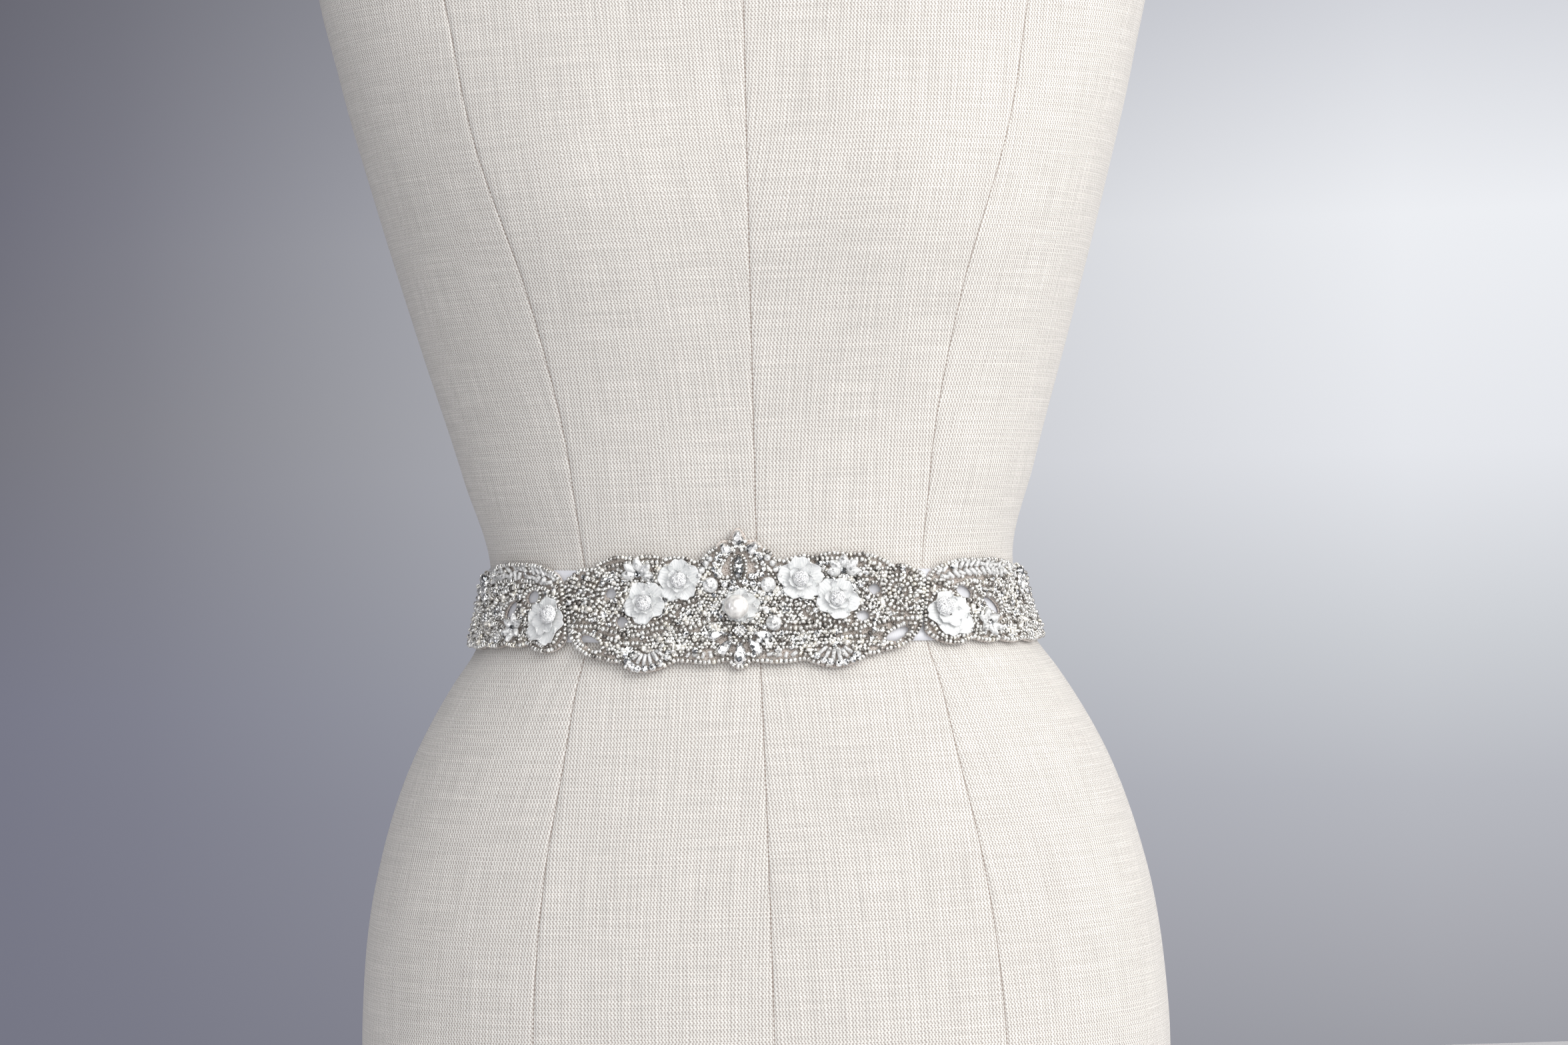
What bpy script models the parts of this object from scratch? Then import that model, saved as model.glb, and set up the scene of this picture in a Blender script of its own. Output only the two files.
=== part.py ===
"""A beaded bridal sash round the waist of a limbless, linen covered dress form.

The form is one smooth solid that stands on its flat foot. A satin ribbon goes round the waist
and laps over itself at the back. Three beaded appliques lie on the ribbon: one over the front
and one on each side, and on them sit cloth flowers, crystal flowers, a pearl and cut stones.

Units are metres, +Z is up and the front faces -Y. Left and right are as seen from the front.
Every piece of the sash is drawn flat first, in (along, up) millimetres from the middle of the
front, and is then laid round the waist by lay_on_form.
"""

import math

import bmesh
import bpy
import numpy as np
from mathutils import Vector
from mathutils.geometry import delaunay_2d_cdt

# The form, in metres. Its heights are from the waist, the narrowest level.
WAIST_HEIGHT = 0.300
FOOT_ROUND = 0.003
NECK_ROUND = 0.008
ROUND_POINTS = 48
SQUARENESS = 2.25  # 2 is an ellipse, and more is flatter in front and at the sides

# height above the waist, half width, depth in front of the middle, depth behind it
FORM_SECTIONS = (
    (-0.2970, 0.1830, 0.1160, 0.1120),
    (-0.2050, 0.1865, 0.1190, 0.1200),
    (-0.1410, 0.1785, 0.1130, 0.1140),
    (-0.0790, 0.1570, 0.1035, 0.0990),
    (-0.0500, 0.1400, 0.0965, 0.0905),
    (-0.0350, 0.1295, 0.0925, 0.0865),
    (-0.0200, 0.1242, 0.0895, 0.0840),
    (0.0000, 0.1210, 0.0880, 0.0830),
    (0.0450, 0.1323, 0.0915, 0.0850),
    (0.1070, 0.1505, 0.0990, 0.0915),
    (0.1690, 0.1680, 0.1030, 0.1000),
    (0.2310, 0.1840, 0.0960, 0.1050),
    (0.2850, 0.1940, 0.0830, 0.1020),
    (0.3180, 0.1905, 0.0740, 0.0950),
    (0.3420, 0.1640, 0.0680, 0.0860),
    (0.3620, 0.1220, 0.0610, 0.0760),
    (0.3850, 0.0780, 0.0530, 0.0650),
    (0.4100, 0.0620, 0.0490, 0.0590),
    (0.4320, 0.0590, 0.0475, 0.0575),
)
# first height, last height, rings between them
RING_RUNS = (
    (-0.2970, -0.0650, 8),
    (-0.0650, 0.0350, 11),
    (0.0350, 0.2850, 10),
    (0.2850, 0.4100, 10),
    (0.4100, 0.4320, 1),
)
# Two soft mounds in front that run into each other, as on a general figure
BUST_HEIGHT = 0.168
BUST_SPACING = 0.156
BUST_RISE = 0.0145
BUST_WIDE = 0.072
BUST_TALL = 0.064

# The sash, in metres. The offsets are from the form's surface.
SASH_HEIGHT = -0.018  # its middle line, from the waist
SASH_SHIFT = -0.0055  # its middle, from the form's middle
SASH_LEAN = math.radians(-1.45)  # the ring is lower on the right
RIBBON_WIDTH = 0.032
RIBBON_RAISE = 0.0020  # its middle, above the middle of the appliques
RIBBON_OFFSET = 0.0005
RIBBON_THICKNESS = 0.0010
RIBBON_LAP = 0.040
LAP_RAMP = 0.018
LAP_GAP = 0.0006
RIBBON_STEP = 0.0095
RIBBON_ROWS = 5
# How unevenly it is tied: along its pattern, how far each place is moved along and up, and the
# share by which it is stretched in height
SASH_UNEVEN = (
    (-0.2700, 0.0000, 0.0000, 0.00),
    (-0.1890, 0.0120, -0.0022, 0.00),
    (-0.1500, 0.0115, -0.0020, 0.00),
    (-0.1250, 0.0092, -0.0010, 0.00),
    (-0.1000, 0.0064, -0.0014, 0.01),
    (-0.0840, 0.0045, -0.0024, 0.05),
    (-0.0670, 0.0036, -0.0018, 0.07),
    (-0.0430, 0.0022, -0.0015, 0.02),
    (-0.0270, 0.0016, -0.0004, 0.00),
    (0.0000, 0.0004, 0.0000, 0.00),
    (0.0270, 0.0000, 0.0000, 0.00),
    (0.0600, 0.0000, 0.0005, 0.00),
    (0.0850, 0.0002, 0.0004, 0.00),
    (0.1200, 0.0000, 0.0000, 0.00),
)
GROUND_OFFSET = 0.0020
GROUND_THICKNESS = 0.0012
TRIM_GAP = 0.0004

# The appliques, in millimetres on the flat pattern.
MM = 0.001
ROPE_RISE = 1.7
FILL_RISE = 0.5
ROPE_STEP = 3.0
FILL_STEP = 3.5
EDGE_STEP = 2.3
BACK_STEP = 7.0
CLEAR_OF_ROPE = 1.7
CLEAR_OF_EDGE = 1.2
CLEAR_OF_SEAT = 1.1
SEAT_MARGIN = 0.6
SEAT_STEP = 2.4
ROPE_INSET = 1.7  # the bead rope along an applique's edge, from that edge
FRONT_REACH = 84  # what lies further along is on a side applique

# Right half of the front applique, from the tip of its crown round to the drop at the bottom:
# along, up, and how far the arc to the next point bulges outwards.
FRONT_OUTLINE = (
    (0.0, 37.0, 1.0),
    (3.8, 31.4, 1.4),
    (10.8, 28.4, 1.0),
    (17.0, 22.4, 0.6),
    (20.0, 22.2, 1.6),
    (34.0, 24.2, 1.4),
    (49.0, 24.8, 1.2),
    (63.5, 22.8, 0.8),
    (69.0, 19.2, 1.6),
    (80.5, 17.0, 1.4),
    (84.4, 11.5, -0.6),
    (79.2, -8.0, 3.0),
    (58.5, -19.4, 0.6),
    (52.5, -20.6, 4.4),
    (27.0, -22.2, 1.2),
    (5.0, -22.6, 0.3),
    (3.6, -23.6, 0.8),
    (0.0, -26.0, 0.0),
)
# Right side applique, clockwise from the top of its inner end.
SIDE_OUTLINE = (
    (85.3, 12.0, 0.6),
    (90.0, 18.0, 1.6),
    (113.0, 22.2, 1.8),
    (146.0, 18.0, 1.6),
    (155.0, 17.2, 1.0),
    (172.0, 16.0, 2.6),
    (189.0, 1.0, 2.6),
    (175.0, -14.8, 1.2),
    (152.0, -15.8, 1.4),
    (134.0, -15.8, 1.4),
    (117.5, -15.2, 1.6),
    (102.0, -14.2, 3.0),
    (82.5, -13.6, 0.8),
    (80.3, -7.8, 0.6),
)
# Gaps that are cut through: along, up, half length, half height, turn in degrees.
FRONT_GAPS = (
    (60.5, 8.6, 2.9, 2.4, 0),
    (53.8, -3.4, 3.0, 2.3, 20),
    (67.6, -12.0, 6.4, 2.1, 27),
)
SIDE_GAPS = (
    (104.5, 6.8, 4.8, 3.0, -12),
    (119.5, 0.6, 5.8, 3.3, -35),
    (150.0, 1.5, 3.8, 2.9, 0),
)

# Trim that is sewn on. Cloth flowers: along, up, radius, petals, turn in degrees.
FRONT_FLOWERS = ((27.5, 14.0, 8.6, 5, 90), (43.0, 4.6, 8.6, 5, 60))
SIDE_FLOWER = (93.0, -3.6, 10.0, 5, 100)
# Crystal flowers likewise, and the front one with the share of the circle that it fills
FRONT_CRYSTAL_FLOWER = (46.8, 17.2, 7.8, 5, 90, 0.56)
SIDE_CRYSTAL_FLOWER = (113.6, -8.0, 6.7, 6, 90)
FLOWER_RISE = 2.2
PETAL_THICKNESS = 0.9
PETAL_POINTS = 6  # points round each petal
DIP_SHARE = 0.76  # the radius between two petals, as a share of a petal's
PEARL_CUP = (0.6, 1.8, 8.0, 6, 60)
CUP_RISE = 0.6
# The beads in the flowers' middles: radius, rise, and how far above the flower's underside
FLOWER_BALL = (3.5, 3.6, 2.25)
SIDE_BALL = (4.3, 4.2, 2.35)
# How far the side balls and the pearl sit from the middle of their flower
SIDE_BALL_SHIFT = (-3.0, 3.2)
PEARL_BALL = (5.4, 9.0, 2.0)
PEARL_SHIFT = (-1.8, -0.8)
BALL_SIDES = 12
STONE_SIDES = 12
DROP_TAPER = 0.42  # how much narrower a drop's tip is, and how much wider its other end
# Cut stones: name, along, up, half width, half length, turn in degrees, rise
STONES = (
    ("crown_tip_stone", 0.0, 32.6, 2.5, 3.5, 0, 3.6),
    ("crown_stone_right", 6.5, 28.0, 2.5, 3.2, -38, 3.4),
    ("crown_stone_left", -5.8, 27.6, 2.5, 3.2, 38, 3.4),
    ("crown_marquise", 0.0, 19.2, 2.4, 5.6, 0, 4.2),
    ("pave_stone", 0.0, -9.4, 2.9, 2.9, 45, 4.4),
    ("drop_bottom", 0.0, -19.4, 2.7, 5.3, 0, 3.8),
    ("drop_lower_right", 6.3, -16.6, 2.4, 4.8, 40, 3.6),
    ("drop_lower_left", -6.3, -16.6, 2.4, 4.8, -40, 3.6),
    ("drop_upper_right", 9.9, -11.4, 2.1, 4.5, 77, 3.6),
    ("drop_upper_left", -9.9, -11.4, 2.1, 4.5, -77, 3.6),
    ("clear_disc_right", 13.2, 11.4, 3.5, 3.5, 0, 2.8),
    ("clear_disc_left", -13.2, 11.4, 3.5, 3.5, 0, 2.8),
    ("clear_bead", 14.8, -6.0, 3.6, 3.6, 0, 4.0),
    ("side_stone_right", 149.5, 15.4, 2.4, 2.4, 0, 3.6),
    ("side_stone_left", -149.5, 15.4, 2.4, 2.4, 0, 3.6),
    ("side_bead_right", 150.0, 9.0, 2.6, 2.6, 0, 3.4),
    ("side_bead_left", -150.0, 9.0, 2.6, 2.6, 0, 3.4),
)

# Colours as linear RGB, then roughness and metallic.
FINISHES = {
    "linen": ((0.72, 0.68, 0.62), 0.85, 0.0),
    "white_satin": ((0.82, 0.82, 0.85), 0.30, 0.0),
    "silver_beads": ((0.62, 0.60, 0.57), 0.22, 1.0),
    "white_organza": ((0.88, 0.89, 0.90), 0.55, 0.0),
    "clear_crystal": ((0.86, 0.88, 0.90), 0.06, 0.0),
    "pearl": ((0.90, 0.88, 0.85), 0.20, 0.0),
}


def make_finish(name):
    """A plain Principled material with the finish's colour, roughness and metallic."""
    colour, roughness, metallic = FINISHES[name]
    material = bpy.data.materials.new(name)
    material.use_nodes = True
    shader = material.node_tree.nodes["Principled BSDF"]
    shader.inputs["Base Color"].default_value = (*colour, 1.0)
    shader.inputs["Roughness"].default_value = roughness
    shader.inputs["Metallic"].default_value = metallic
    material.diffuse_color = (*colour, 1.0)
    return material


def read_sections(heights):
    """Half width, front depth and back depth at these heights, on smooth curves."""
    return read_curves(FORM_SECTIONS, heights)


def read_curves(table, places):
    """Smooth curves through the other columns of a table, read at places on its first column."""
    table = np.array(table)
    rows = table[:, 0]
    places = np.clip(places, rows[0], rows[-1])
    low = np.clip(np.searchsorted(rows, places) - 1, 0, len(rows) - 2)
    span = rows[low + 1] - rows[low]
    t = (places - rows[low]) / span
    curves = []
    for column in table[:, 1:].T:
        slope = np.gradient(column, rows)
        start = (2 * t**3 - 3 * t**2 + 1) * column[low] + (t**3 - 2 * t**2 + t) * span * slope[low]
        end = (3 * t**2 - 2 * t**3) * column[low + 1] + (t**3 - t**2) * span * slope[low + 1]
        curves.append(start + end)
    return curves


def form_point(turn, height):
    """Points on the form's surface. turn is 0 at the front and grows towards +X."""
    turn, height = np.broadcast_arrays(np.asarray(turn, float), np.asarray(height, float))
    half_width, front, back = read_sections(height)
    side, ahead = np.sin(turn), np.cos(turn)
    power = 2 / SQUARENESS
    x = half_width * np.sign(side) * np.abs(side) ** power
    y = -np.where(ahead > 0, front, back) * np.sign(ahead) * np.abs(ahead) ** power
    right, left = (x - BUST_SPACING / 2) / BUST_WIDE, (x + BUST_SPACING / 2) / BUST_WIDE
    upward = (height - BUST_HEIGHT) / BUST_TALL
    mounds = np.exp(-(right**2)) + np.exp(-(left**2))
    y = y - BUST_RISE * mounds * np.exp(-(upward**2)) * np.clip(2 * ahead, 0, 1)
    return np.stack([x, y, height], axis=-1)


def form_centre():
    """How far the form is moved along Y so that its box is centred on the origin."""
    turn, height = np.meshgrid(np.linspace(-math.pi, math.pi, 721), ring_heights())
    y = form_point(turn, height)[..., 1]
    return -(y.min() + y.max()) / 2


def ring_heights():
    """Heights of the form's rings from the waist, closer where its outline turns."""
    heights = [RING_RUNS[0][0]]
    for first, last, count in RING_RUNS:
        heights.extend(np.linspace(first, last, count + 1)[1:])
    return np.array(heights)


def waist_turns(along):
    """The turn on the form that lies this far along the waist from the sash's middle."""
    turn = np.linspace(-2 * math.pi, 2 * math.pi, 5761)
    ring = form_point(turn, SASH_HEIGHT)[:, :2]
    steps = np.linalg.norm(np.diff(ring, axis=0), axis=1)
    length = np.concatenate([[0], np.cumsum(steps)])
    length -= np.interp(0, turn, length)
    return np.interp(np.asarray(along, float) + SASH_SHIFT, length, turn)


def waist_length():
    """The form's girth under the middle of the sash."""
    ring = form_point(np.linspace(-math.pi, math.pi, 2881), SASH_HEIGHT)[:, :2]
    return np.linalg.norm(np.diff(ring, axis=0), axis=1).sum()


def lay_on_form(along, up, offset, uneven=True):
    """Points of the sash in the part's frame, from metres along, up and out of the form."""
    along, up, offset = np.broadcast_arrays(*(np.asarray(a, float) for a in (along, up, offset)))
    if uneven:
        moved_along, moved_up, stretch = read_curves(SASH_UNEVEN, along)
        along, up = along + moved_along, up * (1 + stretch) + moved_up
    turn = waist_turns(along)
    level = SASH_HEIGHT + up + math.tan(SASH_LEAN) * form_point(turn, SASH_HEIGHT)[..., 0]
    small = 1e-4
    here = form_point(turn, level)
    ahead = form_point(turn + small, level) - form_point(turn - small, level)
    rising = form_point(turn, level + small) - form_point(turn, level - small)
    normal = np.cross(ahead, rising)
    normal /= np.linalg.norm(normal, axis=-1, keepdims=True)
    return here + normal * offset[..., None] + np.array([0, form_centre(), WAIST_HEIGHT])


def add_piece(name, points, faces, finish, smooth=True):
    """One closed mesh object, with its faces turned outwards."""
    mesh = bpy.data.meshes.new(name)
    mesh.from_pydata([tuple(p) for p in points], [], [tuple(int(i) for i in f) for f in faces])
    shape = bmesh.new()
    shape.from_mesh(mesh)
    bmesh.ops.recalc_face_normals(shape, faces=shape.faces)
    shape.to_mesh(mesh)
    shape.free()
    mesh.materials.append(MATERIALS[finish])
    piece = bpy.data.objects.new(name, mesh)
    bpy.context.scene.collection.objects.link(piece)
    if smooth:
        mesh.shade_smooth()
        mesh.set_sharp_from_angle(angle=math.radians(40))
    return piece


def ring_faces(rows, columns, start=0):
    """Quads between closed rings of points that follow each other in a list."""
    faces = []
    for row in range(rows - 1):
        for column in range(columns):
            beside = (column + 1) % columns
            low, high = start + row * columns, start + (row + 1) * columns
            faces.append((low + column, low + beside, high + beside, high + column))
    return faces


def stacked_rings(name, rings, finish):
    """A solid through closed rings, with a flat face on the first and the last."""
    count = len(rings[0])
    faces = ring_faces(len(rings), count)
    last = (len(rings) - 1) * count
    faces.append(tuple(range(count)))
    faces.append(tuple(range(last, last + count)))
    return add_piece(name, np.concatenate(rings), faces, finish)


def section_ring(height, grown=0.0):
    """One ring of the form, grown outwards, with the form's own centre."""
    turn = np.linspace(0, 2 * math.pi, ROUND_POINTS, endpoint=False)
    ring = form_point(turn, height)
    middle = ring.mean(axis=0)
    outward = ring - middle
    reach = np.linalg.norm(outward, axis=1, keepdims=True)
    return ring + outward / reach * grown + np.array([0, form_centre(), WAIST_HEIGHT])


def rounded_end(height, radius, way):
    """Two rings that round the form over onto a flat end. way is 1 upwards and -1 down."""
    rings = []
    for angle in np.radians((45, 90)):
        ring = section_ring(height, -radius * (1 - math.cos(angle)))
        ring[:, 2] += way * radius * math.sin(angle)
        rings.append(ring)
    return rings


def build_form():
    """The torso, whole from its foot to its neck."""
    heights = ring_heights()
    rings = rounded_end(heights[0], FOOT_ROUND, -1)[::-1]
    rings += [section_ring(height) for height in heights]
    rings += rounded_end(heights[-1], NECK_ROUND, 1)
    stacked_rings("form_torso", rings, "linen")


def ease(t):
    """Goes smoothly from 0 to 1."""
    t = np.clip(t, 0, 1)
    return t * t * (3 - 2 * t)


def build_ribbon():
    """The satin ribbon: once round the waist and lapped over itself at the back."""
    girth = waist_length()
    first, last = -girth / 2 - SASH_SHIFT, girth / 2 + RIBBON_LAP - SASH_SHIFT
    count = int(round((last - first) / RIBBON_STEP)) + 1
    along = np.linspace(first, last, count)
    up = RIBBON_RAISE + np.linspace(-RIBBON_WIDTH / 2, RIBBON_WIDTH / 2, RIBBON_ROWS)
    lap_lift = RIBBON_THICKNESS + LAP_GAP
    lift = ease((along - (last - RIBBON_LAP - LAP_RAMP)) / LAP_RAMP) * lap_lift
    grid = np.meshgrid(along, up, indexing="ij")
    inner = lay_on_form(*grid, RIBBON_OFFSET + lift[:, None], uneven=False)
    outer = lay_on_form(*grid, RIBBON_OFFSET + RIBBON_THICKNESS + lift[:, None], uneven=False)
    loops = []
    for column in range(count):
        loops.append(np.concatenate([inner[column], outer[column][::-1]]))
    stacked_rings("satin_ribbon", loops, "white_satin")


def arc_points(start, end, bulge):
    """Points from start towards end, without end, on an arc that bulges to the left."""
    start, end = np.array(start, float), np.array(end, float)
    chord = end - start
    length = np.linalg.norm(chord)
    count = max(1, int(round(length / EDGE_STEP)))
    t = np.arange(count) / count
    left = np.array([-chord[1], chord[0]]) / length
    return start + np.outer(t, chord) + np.outer(4 * bulge * t * (1 - t), left)


def outline_points(rows, closed):
    """A run of arcs through the rows of an outline table."""
    runs = []
    pairs = list(zip(rows, rows[1:]))
    if closed:
        pairs.append((rows[-1], rows[0]))
    for here, following in pairs:
        runs.append(arc_points(here[:2], following[:2], here[2]))
    points = np.concatenate(runs)
    return points if closed else np.vstack([points, rows[-1][:2]])


def mirrored(points):
    """The same points on the other side of the sash's middle, in reverse order."""
    return np.asarray(points)[::-1] * np.array([-1, 1])


def oval(row, grown=0.0, step=EDGE_STEP):
    """Points round a gap from a row of its table."""
    along, up, half_length, half_height, turn = row
    half_length, half_height = half_length + grown, half_height + grown
    count = max(8, int(round(math.pi * (half_length + half_height) / step)))
    t = np.linspace(0, 2 * math.pi, count, endpoint=False)
    angle = math.radians(turn)
    x, y = half_length * np.cos(t), half_height * np.sin(t)
    turned = np.stack([x * math.cos(angle) - y * math.sin(angle),
                       x * math.sin(angle) + y * math.cos(angle)], axis=1)
    return turned + np.array([along, up])


def coil(along, up, outer, inner, start, turns):
    """A scroll that winds in from outer to inner radius. Negative turns go clockwise."""
    count = int(abs(turns) * math.pi * (outer + inner) / ROPE_STEP) + 2
    t = np.linspace(0, 1, count)
    radius = outer + (inner - outer) * t
    angle = math.radians(start) + 2 * math.pi * turns * t
    return np.stack([along + radius * np.cos(angle), up + radius * np.sin(angle)], axis=1)


def sweep(*corners):
    """A smooth line through the corners, with points one rope step apart."""
    corners = np.array(corners, float)
    padded = np.vstack([2 * corners[0] - corners[1], corners, 2 * corners[-1] - corners[-2]])
    fine = []
    for a, b, c, d in zip(padded, padded[1:], padded[2:], padded[3:]):
        t = np.linspace(0, 1, 12, endpoint=False)[:, None]
        fine.append(0.5 * (2 * b + (c - a) * t + (2 * a - 5 * b + 4 * c - d) * t**2
                           + (3 * b - a - 3 * c + d) * t**3))
    line = np.vstack([*fine, corners[-1]])
    run = np.concatenate([[0], np.cumsum(np.linalg.norm(np.diff(line, axis=0), axis=1))])
    at = np.linspace(0, run[-1], max(2, int(round(run[-1] / ROPE_STEP)) + 1))
    return np.stack([np.interp(at, run, line[:, i]) for i in range(2)], axis=1)


def fan_ribs(along, up, inner, outer, first, last, count):
    """Straight ribs that spread from a point, at angles from first to last degrees."""
    ribs = []
    for angle in np.radians(np.linspace(first, last, count)):
        reach = np.linspace(inner, outer, 3)
        ribs.append(np.stack([along + reach * math.cos(angle), up + reach * math.sin(angle)], axis=1))
    return ribs


def front_ropes():
    """The raised bead ropes of the front applique's right half."""
    ropes = [
        coil(72.0, 7.6, 9.4, 1.8, 60, -1.75),
        coil(60.5, 8.6, 5.2, 4.8, 200, -0.85),
        oval(FRONT_GAPS[1], 2.0, ROPE_STEP),
        oval(FRONT_GAPS[2], 2.2, ROPE_STEP),
        sweep((78, -5), (66, -5.5), (56, -8), (46, -9.5), (36, -7), (24, -8.5), (13, -4)),
        sweep((74, -8.5), (62, -9.5), (52, -12.5), (42, -13), (32, -10.5), (22, -12.5), (15, -9.5)),
        sweep((54, -16.2), (46, -16.2), (36, -14.2), (27, -16), (22, -17)),
        sweep((20, 5), (27, 2.5), (33, -3), (42, -6), (50, -5)),
        sweep((8.8, 26.2), (14.2, 22.2), (17.6, 16.5), (17.2, 10), (12, 5.2)),
        sweep((5.0, 26.0), (8.6, 20.6), (8.0, 14.6), (4.2, 11.6)),
        sweep((19.5, 20), (30, 23.0), (42, 23.2), (54, 22.4), (64, 19.6)),
        sweep((54, 19), (56, 14), (54, 8)),
        sweep((21, -19), (14, -20.4), (9, -19.6)),
    ]
    return ropes + fan_ribs(39.5, -13.5, 4.5, 10.5, 212, 328, 7)


def side_ropes():
    """The raised bead ropes of the right side applique."""
    return [
        oval(SIDE_GAPS[0], 1.9, ROPE_STEP),
        oval(SIDE_GAPS[1], 1.9, ROPE_STEP),
        oval(SIDE_GAPS[2], 1.9, ROPE_STEP),
        sweep((88.5, 12.5), (98, 14), (112, 14.6), (128, 14.4), (142, 14.4)),
        sweep((92, 9.5), (96, 12), (112, 11.8), (126, 8.4), (136, 1.6), (148, -4.6), (162, -7)),
        sweep((120, -8), (130, -6), (142, -10), (156, -11.6), (172, -10)),
        sweep((123, -12.4), (138, -13), (154, -13.2), (170, -12.8)),
        coil(169, 3.5, 8.6, 2.2, 90, -1.6),
        sweep((132, 9.4), (142, 4.0), (143, -2)),
        sweep((158, 13), (170, 13.4), (181, 7), (184.5, -1), (179, -8)),
    ]


def nearest(points, others):
    """The distance from each point to the nearest of the others."""
    gaps = np.linalg.norm(np.asarray(points)[:, None] - np.asarray(others)[None], axis=2)
    return gaps.min(axis=1)


def inside(points, loop):
    """Which points lie inside a closed loop."""
    x, y = points[:, 0, None], points[:, 1, None]
    x0, y0 = loop[:, 0], loop[:, 1]
    x1, y1 = np.roll(x0, -1), np.roll(y0, -1)
    rises = (y0 > y) != (y1 > y)
    crossing = x0 + (y - y0) * (x1 - x0) / np.where(y1 == y0, 1e-12, y1 - y0)
    return (np.logical_and(rises, x < crossing).sum(axis=1) % 2).astype(bool)


def thinned(points, spacing):
    """Leaves out each point that is closer than spacing to one that is kept before it."""
    kept = []
    for point in points:
        if all((point[0] - k[0]) ** 2 + (point[1] - k[1]) ** 2 >= spacing**2 for k in kept):
            kept.append(point)
    return np.array(kept)


def staggered_grid(loop, step):
    """Points on a grid of equilateral triangles over a loop's box."""
    low, high = loop.min(axis=0), loop.max(axis=0)
    points = []
    for row, y in enumerate(np.arange(low[1], high[1], step * 0.866)):
        start = low[0] + (step / 2 if row % 2 else 0)
        points.extend((x, y) for x in np.arange(start, high[0], step))
    return np.array(points)


def free_of_edges(points, loops, margin):
    """Those points that are inside the first loop, outside the others and off every edge."""
    keep = inside(points, loops[0])
    for gap in loops[1:]:
        keep &= ~inside(points, gap)
    keep &= nearest(points, np.vstack(loops)) > margin
    return points[keep]


def filled(loops, points):
    """Triangles over the area between the loops, through their points and the given ones."""
    flat = np.vstack([*loops, points])
    edges = []
    start = 0
    for loop in loops:
        count = len(loop)
        edges.extend((start + i, start + (i + 1) % count) for i in range(count))
        start += count
    corners, _, triangles, *_ = delaunay_2d_cdt([Vector(p) for p in flat], edges, [], 0, 1e-6)
    if len(corners) != len(flat):
        raise ValueError("two edges of an applique cross or touch")
    triangles = np.array([list(t) for t in triangles])
    middles = flat[triangles].mean(axis=1)
    keep = inside(middles, loops[0])
    for gap in loops[1:]:
        keep &= ~inside(middles, gap)
    return flat, triangles[keep]


def applique(name, loops, ropes, seats):
    """A wall in the outline of its loops, with raised bead ropes over a plain inside.

    It is low inside the seats, the outlines of what is sewn on it."""
    seat_points = free_of_edges(thinned(np.vstack(seats), CLEAR_OF_EDGE), loops, SEAT_MARGIN)
    rope_points = np.vstack([loop_inset(loops[0]), *ropes])
    fill = staggered_grid(loops[0], FILL_STEP)
    for seat in seats:
        rope_points = rope_points[~inside(rope_points, seat)]
    low = np.any([inside(fill, seat) for seat in seats], axis=0)
    rope_points = rope_points[nearest(rope_points, seat_points) > CLEAR_OF_SEAT]
    rope_points = free_of_edges(thinned(rope_points, CLEAR_OF_ROPE), loops, CLEAR_OF_EDGE)
    level = free_of_edges(fill[low], loops, CLEAR_OF_EDGE)
    level = level[nearest(level, seat_points) > CLEAR_OF_ROPE]
    fill = free_of_edges(fill[~low], loops, CLEAR_OF_EDGE)
    fill = fill[nearest(fill, np.vstack([rope_points, seat_points])) > CLEAR_OF_ROPE]

    border = sum(len(loop) for loop in loops)
    front, front_faces = filled(loops, np.vstack([seat_points, level, rope_points, fill]))
    heights = np.concatenate([np.zeros(border + len(seat_points) + len(level)),
                              np.full(len(rope_points), ROPE_RISE),
                              np.full(len(fill), FILL_RISE)])
    back_fill = free_of_edges(staggered_grid(loops[0], BACK_STEP), loops, 2 * CLEAR_OF_EDGE)
    back, back_faces = filled(loops, back_fill)

    outer = lay_on_form(front[:, 0] * MM, front[:, 1] * MM,
                        GROUND_OFFSET + GROUND_THICKNESS + heights * MM)
    inner = lay_on_form(back[:, 0] * MM, back[:, 1] * MM, GROUND_OFFSET)
    shift = len(outer)
    faces = [tuple(f) for f in front_faces]
    faces += [tuple(shift + i for i in f[::-1]) for f in back_faces]
    start = 0
    for loop in loops:
        for i in range(len(loop)):
            a, b = start + i, start + (i + 1) % len(loop)
            faces.append((a, b, shift + b, shift + a))
        start += len(loop)
    return add_piece(name, np.vstack([outer, inner]), faces, "silver_beads")


def loop_inset(loop):
    """Points a little inside a loop that runs clockwise, about a rope step apart."""
    following, before = np.roll(loop, -1, axis=0), np.roll(loop, 1, axis=0)
    way = following - before
    inward = np.stack([way[:, 1], -way[:, 0]], axis=1)
    inward /= np.linalg.norm(inward, axis=1, keepdims=True)
    return thinned(loop + inward * ROPE_INSET, 0.85 * ROPE_STEP)


def flower_seat(row):
    """The circle on the pattern that a flower takes up."""
    along, up, radius = row[:3]
    return oval((along, up, radius, radius, 0), SEAT_MARGIN, SEAT_STEP)


def stone_outline(half_width, half_length, turn, around, grown=0.0):
    """Points round a stone's girdle: an oval, or a drop if it is long."""
    t = np.linspace(0, 2 * math.pi, around, endpoint=False)
    pointed = half_length > 1.15 * half_width
    width = half_width * (1 - DROP_TAPER * np.cos(t)) if pointed else half_width
    x, y = (width + grown) * np.sin(t), (half_length + grown) * np.cos(t)
    angle = math.radians(turn)
    return np.stack([x * math.cos(angle) - y * math.sin(angle),
                     x * math.sin(angle) + y * math.cos(angle)], axis=1)


def stone_seat(row):
    """The outline on the pattern that a stone takes up."""
    _, along, up, half_width, half_length, turn, _ = row
    outline = stone_outline(half_width, half_length, turn, STONE_SIDES, SEAT_MARGIN)
    return outline + np.array([along, up])


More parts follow.
